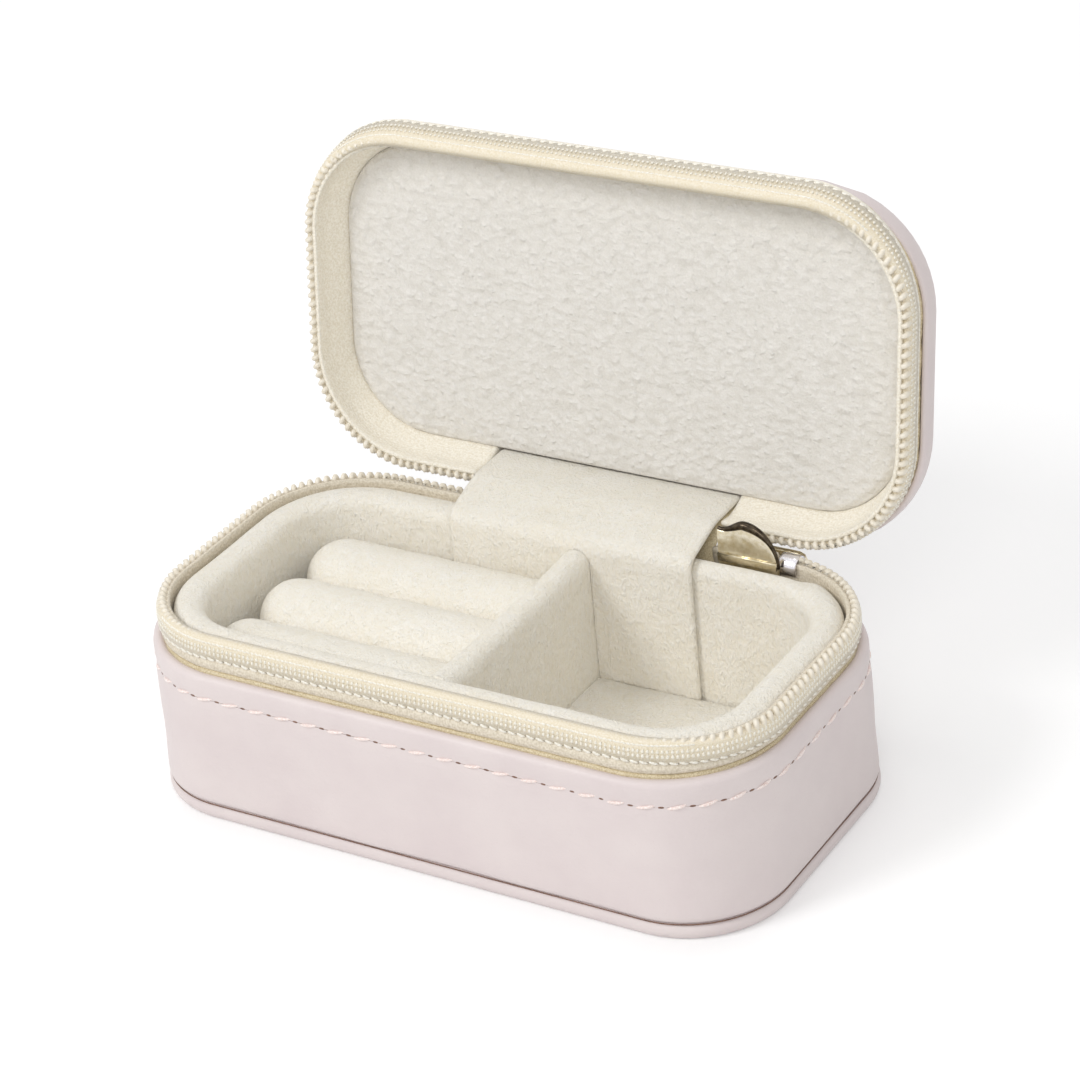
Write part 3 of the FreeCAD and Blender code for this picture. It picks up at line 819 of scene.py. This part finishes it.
# The stuffed rolls bulge this far past their solids, towards the left wall
ROLL_REACH = 2.0
ROLL_FOOT = 0.06


def rim_swell(spot):
    """How far the rim stands out towards the zip: less along the front, and not at all beside the slider."""
    x, y = CASE.place(spot)[:2]
    past_left = smooth((x - SLIDER_LEFT) / LEFT_EASE)
    past_right = smooth((x - SLIDER_RIGHT) / RIGHT_EASE)
    beside_slider = past_left * smooth((y - SLIDER_FRONT) / REAR_EASE) * (1 - past_right)
    return RIM_SWELL * (1 - beside_slider) * (1 - FRONT_EASE * front_share(spot))


def tray_wall():
    """Thick velvet wall round the tray, with a soft rim."""
    turns = [math.pi * step / RIM_STEPS for step in range(RIM_STEPS + 1)]
    inner_levels = np.linspace(RIM_TOP - RIM_CROWN - 1, FLOOR_LOW - 2.0, 14)
    rows = []
    for spot in walk(1.0):
        face = TRAY_FACE - rim_swell(spot)
        half = (TRAY_BACK - face) / 2
        middle = (TRAY_BACK + face) / 2
        section = [(TRAY_FACE, level) for level in (CARD_TOP + 0.1, *RIM_SPRING)]
        for turn in turns:
            crown = RIM_TOP - RIM_CROWN * (1 - math.sin(turn) ** 0.8)
            section.append((middle - half * math.cos(turn), crown))
        section += [(TRAY_BACK, level) for level in inner_levels]
        row = []
        for inset, level in section:
            point = at(spot, inset, level)
            row.append(at(spot, inset + ripple(point, 6.0, 0.1), level + ripple(point, 9.0, 0.08, 3.0)))
        rows.append(row)
    make("tray_velvet_wall", *band(rows, True), VELVET, "base", "cream_velvet",
         stands_for=["tray_wall_velvet"])


def slab(length, width, radius, columns, rows, rim, relief, draw_in=None):
    """A rounded plate with a relief on its face: a grid inside the outline, then the rim's steps
    of (outward, level), then a flat back. draw_in gives the share that a rim step loses by direction."""
    half_x = length / 2
    half_y = width / 2
    points = []
    for row in range(rows + 1):
        part = 2 * row / rows - 1
        y = half_y * (math.sin(math.pi / 2 * part) * 0.35 + part * 0.65)
        past = max(0.0, abs(y) - (half_y - radius))
        edge = half_x - radius + math.sqrt(max(0.0, radius * radius - past * past))
        for column in range(columns + 1):
            points.append([edge * (2 * column / columns - 1), y, 0.0])
    across = columns + 1
    faces = []
    for row in range(rows):
        for column in range(columns):
            corner = row * across + column
            faces.append((corner, corner + 1, corner + across + 1, corner + across))
    border = list(range(across))
    border += [row * across + columns for row in range(1, rows + 1)]
    border += [rows * across + column for column in range(columns - 1, -1, -1)]
    border += [row * across for row in range(rows - 1, 0, -1)]
    edges = [points[corner][:2] for corner in border]
    outs = []
    for x, y in edges:
        centre_x = math.copysign(min(abs(x), half_x - radius), x)
        centre_y = math.copysign(min(abs(y), half_y - radius), y)
        out = np.array((x - centre_x, y - centre_y))
        size = np.linalg.norm(out)
        outs.append(out / size if size > 1e-6 else np.array((0.0, math.copysign(1, y))))
    for point in points:
        point[2] = relief(point[0], point[1])
    last = border
    for outward, level in rim:
        start = len(points)
        for (x, y), out in zip(edges, outs):
            past = outward * (1 - draw_in(out)) if draw_in else outward
            points.append([x + out[0] * past, y + out[1] * past, level])
        new = list(range(start, start + len(border)))
        for number in range(len(border)):
            after = (number + 1) % len(border)
            faces.append((last[number], last[after], new[after], new[number]))
        last = new
    faces.append(tuple(last))
    return points, faces


def tray_floor():
    """Padded floor, crowned and drawn down where it meets the wall."""
    inset = TRAY_BACK + FLOOR_GAP
    length = CASE_LENGTH - 2 * inset
    width = CASE_WIDTH - 2 * inset

    def relief(x, y):
        side = max(0.0, 1 - (abs(x) / (length / 2)) ** 6) * max(0.0, 1 - (abs(y) / (width / 2)) ** 6)
        return FLOOR_TOP - FLOOR_CROWN + FLOOR_CROWN * side ** 0.5 + ripple((x, y, 0), 5.0, 0.12)

    rim = [(0.2, FLOOR_TOP - 0.9), (0.25, FLOOR_TOP - 2.0)]
    points, faces = slab(length, width, CORNER_RADIUS - inset, 90, 50, rim, relief)
    floor = make("tray_padded_floor", points, faces, VELVET, "base", "cream_velvet",
                 stands_for=["tray_floor_velvet", "tray_floor_foam"])


def divider():
    """Velvet-wrapped divider with a rounded top that sags a little at its middle."""
    low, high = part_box("divider_velvet")
    low, high = low / MILLI, high / MILLI
    half = (high.x - low.x) / 2
    centre = (high.x + low.x) / 2
    side_levels = np.linspace(high.z - half - 1, FLOOR_TOP - 1.0, 12)
    rows = []
    for y in np.linspace(low.y - 0.08, high.y + 0.15, 60):
        ends = max(0.0, (abs(y) - FLARE_START) / FLARE_RUN)
        sag = -DIVIDER_SAG * (1 - (y / SAG_HALF) ** 2)
        row = []
        for turn in np.linspace(0, math.pi, 15):
            x = centre - half * math.cos(turn)
            z = high.z - half + half * math.sin(turn) + sag + DIVIDER_FLARE * ends
            row.append((x, y, z))
        row += [(centre + half, y, level) for level in side_levels]
        row += [(centre - half, y, level) for level in side_levels[::-1]]
        uneven = []
        for point in row:
            x, y, z = point
            uneven.append((x + ripple(point, 5.0, 0.12), y, z + ripple(point, 7.0, 0.12, 5.0)))
        rows.append(uneven)
    make("divider_velvet_wrap", *band(rows, False), VELVET, "base", "cream_velvet",
         stands_for=["divider_velvet"])


def ring_roll(name):
    """A padded roll with a domed left end, softly uneven like stuffed velvet."""
    low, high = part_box("ring_roll_%s_velvet" % name)
    low, high = low / MILLI, high / MILLI
    radius = (high.y - low.y) / 2
    centre = (high.y + low.y) / 2
    start = low.x + radius - ROLL_REACH
    stations = [start - radius * math.cos(turn) for turn in np.linspace(0.06, math.pi / 2, 14)]
    stations += list(np.linspace(start, high.x, 34))[1:]
    foot = np.linspace(0.0, 1.0, 7)[1:]
    rows = []
    for x in stations:
        past = max(0.0, start - x) / radius
        share = math.sqrt(max(0.0, 1 - past * past))
        wide = radius * share
        spring = high.z - radius + radius * share ** 0.9 - wide
        row = []
        for turn in np.linspace(0, math.pi, 25):
            row.append((x, centre - wide * math.cos(turn), spring + wide * math.sin(turn) ** 0.92))
        flank = [(wide * (1 - ROLL_FOOT * part), spring - (spring - low.z) * part) for part in foot]
        row += [(x, centre + out, level) for out, level in flank]
        row += [(x, centre - out, level) for out, level in flank[::-1]]
        swell = []
        for point in row:
            x_at, y, z = point
            push = ripple(point, 4.0, 0.16, centre)
            swell.append((x_at, y + push * (y - centre) / radius, z + push * max(0.0, (z - low.z) / 16.0)))
        rows.append(swell)
    roll = make("ring_roll_%s" % name, *band(rows, False), VELVET, "base", "cream_velvet",
                stands_for=["ring_roll_%s_velvet" % name, "ring_roll_%s_foam" % name])


# Lid, with its levels as if shut

LID_EDGE = 35.5
LID_TOP = 41.7
LID_ROUND = 4.8
LID_FOLD = 0.55
CAP_DRAW = 0.5
FRONT_DRAW = 1.0
BOARD_INSET = 4.4
BOARD_LEVELS = (39.1, 40.5)
PANEL_FACE = 36.4
PANEL_BACK = 39.0
PANEL_ROLL = 1.1


def lid_cap():
    """Leather cap with a full rounded edge, drawn in a little, most of all along its front."""
    inset = LID_ROUND + 0.2
    length = CASE_LENGTH - 2 * inset
    width = CASE_WIDTH - 2 * inset
    turns = [math.radians(9 * step) for step in range(1, 11)]
    rim = [(0.2 + LID_ROUND * math.sin(turn), LID_TOP - LID_ROUND * (1 - math.cos(turn))) for turn in turns]
    fold = fold_corner(LID_FOLD, LID_EDGE + LID_FOLD, LID_FOLD, 0, -180)
    rim += [(inset - out, level) for out, level in fold]
    rim += [(inset - TAPE_FACE + 0.5, LID_EDGE + 2.0), (inset - TAPE_FACE + 0.3, PANEL_BACK)]

    def relief(x, y):
        return LID_TOP + ripple((x, y, 0), 16.0, 0.12) - 0.06

    def draw_in(out):
        return (CAP_DRAW + FRONT_DRAW * max(0.0, -out[1]) ** 2) / inset

    points, faces = slab(length, width, CORNER_RADIUS - inset, 60, 34, rim, relief, draw_in)
    make("lid_leather_cap", points, faces, LEATHER, "lid", "blush_leatherette", True, ["lid_cover"])


def lid_board():
    """The stiff board inside the cap."""
    length = CASE_LENGTH - 2 * BOARD_INSET
    width = CASE_WIDTH - 2 * BOARD_INSET
    low, high = BOARD_LEVELS
    points, faces = slab(length, width, CORNER_RADIUS - BOARD_INSET, 30, 20, [(0.0, low)], lambda x, y: high)
    make("lid_stiff_board", points, faces, BOARD, "lid", "stiff_board", True, ["lid_board"])


def lid_panel():
    """Padded suede panel in the lid: hammered relief and a soft rolled edge."""
    inset = PANEL_INSET + PANEL_ROLL
    length = CASE_LENGTH - 2 * inset
    width = CASE_WIDTH - 2 * inset
    turns = [math.radians(15 * step) for step in range(1, 7)]
    rim = [(PANEL_ROLL * math.sin(turn), PANEL_FACE + PANEL_ROLL * (1 - math.cos(turn))) for turn in turns]
    rim += [(PANEL_ROLL, PANEL_BACK)]

    def relief(x, y):
        side = (1 - (2 * x / length) ** 8) * (1 - (2 * y / width) ** 8)
        lumps = ripple((x, y, 0), 0.95, 0.13) + ripple((x, y, 0), 2.3, 0.08, 4.0)
        return PANEL_FACE - 0.05 - lumps * min(1.0, 4 * max(0.0, side)) - 0.25 * max(0.0, side) ** 0.5

    points, faces = slab(length, width, CORNER_RADIUS - inset, 230, 116, rim, relief)
    panel = make("lid_suede_panel", points, faces, SUEDE, "lid", "lid_suede", True,
                 ["lid_panel_velvet", "lid_panel_foam"])


# Hinge strips: their middle lines at rest, as (depth, level) corners, and the bend radius at each inner one

VELVET_CORNERS = [(18.45, FLOOR_TOP - 0.35), (18.45, 29.4), (26.3, 31.8), (34.1, 31.9)]
VELVET_BENDS = [2.2, 8.0]
LINING_CORNERS = [(24.0, TAPE_LOW), (24.0, 31.4), (34.4, 30.9)]
LINING_BENDS = [5.5]
LINING_SPARE = 0.5
LEATHER_CORNERS = [(24.5, TAPE_LOW), (24.5, 31.8), (35.2, 30.4)]
LEATHER_BENDS = [6.0]


def strip_line(path, bends, step=0.4):
    """Evenly spaced points along straight runs with an arc at each inner corner, and their length."""
    line = [np.array(path[0], float)]
    for before, corner, after, radius in zip(path, path[1:], path[2:], bends):
        before, corner, after = (np.array(point, float) for point in (before, corner, after))
        back = (before - corner) / np.linalg.norm(before - corner)
        ahead = (after - corner) / np.linalg.norm(after - corner)
        half_turn = (math.pi - math.acos(np.clip(back @ ahead, -1, 1))) / 2
        cut = radius * math.tan(half_turn)
        centre = corner + (back + ahead) / np.linalg.norm(back + ahead) * radius / math.cos(half_turn)
        entry = corner + back * cut - centre
        leave = corner + ahead * cut - centre
        turn = 2 * half_turn
        for part in np.linspace(0, 1, 8):
            arc = entry * np.sin((1 - part) * turn) + leave * np.sin(part * turn)
            line.append(centre + arc / math.sin(turn))
    line.append(np.array(path[-1], float))
    line = np.array(line)
    gone = np.concatenate([[0], np.cumsum(np.linalg.norm(np.diff(line, axis=0), axis=1))])
    along = np.linspace(0, gone[-1], int(gone[-1] / step) + 1)
    return np.stack([np.interp(along, gone, line[:, axis]) for axis in (0, 1)], 1), gone[-1]


def strip(name, path, bends, half, thickness, finish, slot, node, crease):
    """A flat strip across the hinge, bent round the corners of its middle line."""
    line, length = strip_line(path, bends)
    heading = np.gradient(line, axis=0)
    heading /= np.linalg.norm(heading, axis=1)[:, None]
    side = np.stack([heading[:, 1], -heading[:, 0]], 1) * thickness / 2
    rows = []
    for (y, z), (side_y, side_z) in zip(line, side):
        front = []
        back = []
        for x in np.linspace(-half, half, 81):
            wave = ripple((x, y, z), 7.0, crease)
            round_edge = min(1.0, 0.45 + (half - abs(x)) / 0.5)
            front.append((x, y + side_y * round_edge + wave, z + side_z * round_edge))
            back.append((x, y - side_y * round_edge + wave, z - side_z * round_edge))
        rows.append(front + back[::-1])
    piece = make(name, *band(rows, False), finish, None, slot, stands_for=[node] if node else [])
    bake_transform(piece)


def hinge_strips():
    strip("hinge_velvet_strip", VELVET_CORNERS, VELVET_BENDS,
          STRIP_HALF, 0.8, VELVET, "cream_velvet", "hinge_velvet", 0.05)
    # The lining strip shows the golden painted shade of tape in the hinge gap
    strip("hinge_lining_strip", LINING_CORNERS, LINING_BENDS,
          STRIP_HALF + LINING_SPARE, 0.3, TAPE_SHADE_GOLD, "zip_tape", None, 0.0)
    strip("hinge_leather_strip", LEATHER_CORNERS, LEATHER_BENDS,
          STRIP_HALF, 0.6, LEATHER, "blush_leatherette", "hinge_leather", 0.02)


# Slider and pull

PLATE_THICK = 0.9
PLATE_SOFT = 0.15
PLATE_STEPS = 40
# The inner plate's top edge: its height at the left, the dip, the hump and where it is, the end of its arc
PLATE_LEFT_TOP = 33.3
PLATE_DIP = 0.35
HUMP_RISE = 1.1
HUMP_PLACE = 0.42
ARC_LOW = 28.6
ARC_HEIGHT = 5.8
PLATE_FOOT = (28.5, 29.7)
RIM_THIN = 0.3
RIM_FULL = 0.38
OUTER_DEPTH = 5.1
OUTER_DROP = 0.7
OUTER_CORNER = 1.2
OUTER_CUT = 0.35
NOSE_LENGTH = 2.3
NOSE_LEVEL = 28.3
NOSE_DEPTH = 2.5
NOSE_RADIUS = 1.65
NOSE_BORE = 1.2
BAR_Y = 29.53
BAR_Z = 26.2
BAR_RADIUS = 0.65
BAR_SPAN = (25.3, 30.7)
LUG_STARTS = (24.7, 30.3)
LUG_REACH = 0.85
LUG_HALF = 0.8
TAB_HALF = 0.6
SHOULDER_DROP = 1.9
NECK_HALF = 2.1
NECK_RUN = 6.0
EYE_HALF = 2.2
EYE_RADIUS = 1.53
EYE_BORE = 0.74


def plate_between(outline_points, front, back, bevel):
    """A plate of an (x, z) outline between two depths, with softened edges."""
    outline_points = np.asarray(outline_points, float)
    before = np.roll(outline_points, 1, axis=0)
    after = np.roll(outline_points, -1, axis=0)
    run = after - before
    run /= np.linalg.norm(run, axis=1)[:, None]
    inward = np.stack([-run[:, 1], run[:, 0]], 1)
    rows = []
    for shrink, y in ((bevel, front), (bevel * 0.3, front + bevel * 0.3), (0, front + bevel),
                      (0, back - bevel), (bevel * 0.3, back - bevel * 0.3), (bevel, back)):
        rows.append([(x, y, z) for x, z in outline_points + inward * shrink])
    return band(rows, False)


def sleeve(span, y, z, outside, inside):
    """A short ring round a line along the case."""
    turns = np.linspace(0, 2 * math.pi, 24, endpoint=False)
    start, finish = span
    rows = []
    for radius, places in ((outside, np.linspace(start, finish, 6)), (inside, np.linspace(finish, start, 6))):
        for x in places:
            rows.append([(x, y + radius * math.cos(turn), z + radius * math.sin(turn)) for turn in turns])
    return band(rows, True)


def slider_top(part):
    """Height of the inner plate's top edge: a dip, a hump at two fifths, then an arc down."""
    if part < HUMP_PLACE:
        rise = part / HUMP_PLACE
        return PLATE_LEFT_TOP + HUMP_RISE * smooth(rise) - PLATE_DIP * math.sin(math.pi * rise)
    fall = (part - HUMP_PLACE) / (1 - HUMP_PLACE)
    return ARC_LOW + ARC_HEIGHT * math.sqrt(max(0.0, 1 - fall * fall))


def slider_plate(left, end, front, low):
    """The half-heart plate inside the zip."""
    soft = PLATE_SOFT
    back = front + PLATE_THICK
    rows = []
    for part in plate_parts():
        x = left + (end - left) * part
        top = slider_top(part)
        section = ((front + soft, low), (front, low + soft), (front, top - soft), (front + soft, top),
                   (back - soft, top), (back, top - soft), (back, low))
        rows.append([(x, y, z) for y, z in section])
    return band(rows, False)


def plate_parts():
    """Shares of the inner plate's length, closer together at its ends."""
    return [0.5 - 0.5 * math.cos(math.pi * step / PLATE_STEPS) for step in range(PLATE_STEPS + 1)]


def pull_lug(start, plate_back):
    """A rounded lug that holds one end of the pull's bar on the outer plate."""
    lug = []
    for turn in np.linspace(-1.57, 1.57, 10):
        lug.append((BAR_Y + LUG_REACH * math.cos(turn), BAR_Z + LUG_HALF * math.sin(turn)))
    lug += [(plate_back - 0.05, BAR_Z + LUG_HALF), (plate_back - 0.05, BAR_Z - LUG_HALF)]
    return band([[(start + step, y, z) for y, z in lug] for step in (0.0, 0.1, 0.9, 1.0)], False)


def zip_slider():
    """Metal slider: an inner plate with a polished rim painted dark as shade, an outer plate, a silver nose
    and the pull's bar between its lugs."""
    low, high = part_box("zip_slider")
    low, high = low / MILLI, high / MILLI
    front = low.y
    left, right = low.x, high.x
    end = right - NOSE_LENGTH
    outer_back = front + OUTER_DEPTH
    shells = [slider_plate(left, end, front, low.z)]
    foot_low, foot_high = PLATE_FOOT
    foot = [(left, foot_low), (end, foot_low), (end, foot_high), (left, foot_high)]
    shells.append(plate_between(foot, front - 0.4, front + 0.2, 0.12))
    top = SPLIT - OUTER_DROP
    outer = [(left, low.z), (right - OUTER_CORNER, low.z), (right - OUTER_CUT, low.z + OUTER_CUT),
             (right, low.z + OUTER_CORNER), (right, top - OUTER_CORNER),
             (right - OUTER_CUT, top - OUTER_CUT), (right - OUTER_CORNER, top), (left, top)]
    shells.append(plate_between(outer, outer_back - PLATE_THICK, outer_back, 0.2))
    nose = sleeve((end - 0.4, right), front + NOSE_DEPTH, NOSE_LEVEL, NOSE_RADIUS, NOSE_BORE)
    make("zip_slider_nose", *nose, SILVER, "slider", "pale_gold_metal")
    bar = [(x, BAR_Y, BAR_Z) for x in np.linspace(*BAR_SPAN, 12)]
    shells.append(tube(bar, [BAR_RADIUS] * len(bar), 14))
    shells += [pull_lug(start, outer_back) for start in LUG_STARTS]
    make("zip_slider_body", *gather(shells), METAL, "slider", "pale_gold_metal", stands_for=["zip_slider"])
    rim = [(left + (end - left) * part, front + 0.42, slider_top(part) + 0.05) for part in plate_parts()]
    girth = [RIM_THIN + RIM_FULL * math.sin(math.pi * part) ** 1.5 for part in plate_parts()]
    # The rim is painted dark as the shade along the inner plate's thick edge
    make("zip_slider_rim", *tube(rim, girth, 10, (0.0, 1.0, 0.05)), SHADED_RIM_METAL, "slider", "pale_gold_metal")


def zip_pull():
    """Flat metal tab with a narrow neck and a rolled eye, hanging from the slider's bar."""
    low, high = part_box("zip_pull")
    low, high = low / MILLI, high / MILLI
    middle = (low.x + high.x) / 2
    half = (high.x - low.x) / 2
    neck_low = BAR_Z - SHOULDER_DROP - NECK_RUN
    outline_points = []
    for turn in np.linspace(180, 360, 19):
        angle = math.radians(turn)
        outline_points.append((middle + half * math.cos(angle), low.z + half + half * math.sin(angle)))
    neck = []
    for part in np.linspace(0, 1, 12):
        wide = half + (NECK_HALF - half) * (0.5 - 0.5 * math.cos(math.pi * part))
        neck.append((wide, neck_low + NECK_RUN * part))
    outline_points += [(middle + wide, level) for wide, level in neck]
    outline_points += [(middle - wide, level) for wide, level in neck[::-1]]
    shells = [plate_between(outline_points, BAR_Y - TAB_HALF, BAR_Y + TAB_HALF, 0.2)]
    shells.append(sleeve((middle - EYE_HALF, middle + EYE_HALF), BAR_Y, BAR_Z, EYE_RADIUS, EYE_BORE))
    make("zip_pull_tab", *gather(shells), PULL_METAL, "pull", "pale_gold_metal", stands_for=["zip_pull"])


# The room: floor, lights and camera

WHITE = (1.0, 1.0, 1.0, 1.0)
FLOOR_PALE = (0.88, 0.88, 0.88, 1.0)
FLOOR_LIFT = 0.19
FLOOR_HALF_M = 3.0
WORLD_LIGHT = 0.53
LAMP_TARGET_M = (0.0, 0.01, 0.035)
# Lamps: name, place and width in metres, power in watts
STUDIO_LAMPS = (
    ("key", (-0.55, -0.8, 0.85), 0.5, 5.4),
    ("fill", (0.5, -0.75, 0.75), 0.6, 2.8),
    ("top", (-0.1, 0.3, 1.0), 0.6, 2.2),
)
VIEW_AZIMUTH = math.radians(33.6)
VIEW_ELEVATION = math.radians(29.2)
VIEW_ROLL = math.radians(-6.0)
VIEW_DISTANCE = 498.0
VIEW_TARGET = (-3.0, 16.0, 29.8)
# Focal length in pixels of the frame, and the frame's side
VIEW_FOCUS = 3500.0
FRAME_SIDE = 1080.0
SENSOR = 36.0


def white_ground():
    """Pale floor that keeps the shadow and looks white to the camera."""
    finish = Finish("pale_floor")
    pale = finish.node("BsdfDiffuse", None, {"Color": FLOOR_PALE})
    lift = finish.node("Emission", None, {"Color": WHITE, "Strength": FLOOR_LIFT})
    both = finish.node("AddShader", None, {0: pale, 1: lift})
    shown = finish.node("MixShader", None, {0: finish.seen(), 1: pale, 2: both})
    finish.node("OutputMaterial", None, {"Surface": shown})
    half = FLOOR_HALF_M
    mesh = bpy.data.meshes.new("floor")
    corners = [(-half, -half, 0), (half, -half, 0), (half, half, 0), (-half, half, 0)]
    mesh.from_pydata(corners, [], [(0, 1, 2, 3)])
    mesh.materials.append(finish.owner)
    ground = bpy.data.objects.new("floor", mesh)
    bpy.context.scene.collection.objects.link(ground)


def soft_world():
    """Even light from all round, which looks white to the camera."""
    world = bpy.data.worlds.new("studio")
    bpy.context.scene.world = world
    finish = Finish("studio", world)
    strength = WORLD_LIGHT + finish.seen() * (1 - WORLD_LIGHT)
    light = finish.node("Background", None, {"Color": WHITE, "Strength": strength})
    finish.node("OutputWorld", None, {"Surface": light})


def studio():
    """Round area lamps that all face the case."""
    for name, place, size, power in STUDIO_LAMPS:
        data = bpy.data.lights.new(name, "AREA")
        data.shape = "DISK"
        data.size = size
        data.energy = power
        light = bpy.data.objects.new(name, data)
        light.location = place
        light.rotation_euler = (Vector(LAMP_TARGET_M) - Vector(place)).to_track_quat("-Z", "Y").to_euler()
        bpy.context.scene.collection.objects.link(light)


def photo_camera():
    """The camera at the photo's angle, turned a little about its own line of sight."""
    flat = math.cos(VIEW_ELEVATION)
    back = Vector((math.sin(VIEW_AZIMUTH) * flat, -math.cos(VIEW_AZIMUTH) * flat, math.sin(VIEW_ELEVATION)))
    right = Vector((math.cos(VIEW_AZIMUTH), math.sin(VIEW_AZIMUTH), 0.0))
    up = back.cross(right)
    turned_right = right * math.cos(VIEW_ROLL) + up * math.sin(VIEW_ROLL)
    turned_up = up * math.cos(VIEW_ROLL) - right * math.sin(VIEW_ROLL)
    data = bpy.data.cameras.new("camera")
    data.sensor_width = SENSOR
    data.lens = VIEW_FOCUS / FRAME_SIDE * SENSOR
    data.clip_start = 0.01
    data.clip_end = 50.0
    camera = bpy.data.objects.new("camera", data)
    axes = Matrix((turned_right, turned_up, back)).transposed().to_4x4()
    axes.translation = (Vector(VIEW_TARGET) + back * VIEW_DISTANCE) * MILLI
    camera.matrix_world = axes
    bpy.context.scene.collection.objects.link(camera)
    bpy.context.scene.camera = camera


def dress_boards():
    """The hidden boards and cards keep their own shapes."""
    for name, node in frame["nodes"].items():
        if name.endswith("_board") or name.endswith("_card"):
            node.data.materials.clear()
            node.data.materials.append(BOARD)


bpy.context.scene.view_settings.view_transform = "Standard"
leather_wall()
wall_seam()
bottom_panel()
zip_row("base_row", 1, "base", SPLIT - TAPE_LOW, SHADED_BASE_TAPE)
zip_row("lid_row", -1, "lid", LID_TAPE_REACH, LID_TAPE)
tray_wall()
tray_floor()
divider()
for roll_name in ("front", "middle", "rear"):
    ring_roll(roll_name)
lid_cap()
lid_board()
lid_panel()
hinge_strips()
zip_slider()
zip_pull()
dress_boards()
white_ground()
soft_world()
studio()
photo_camera()
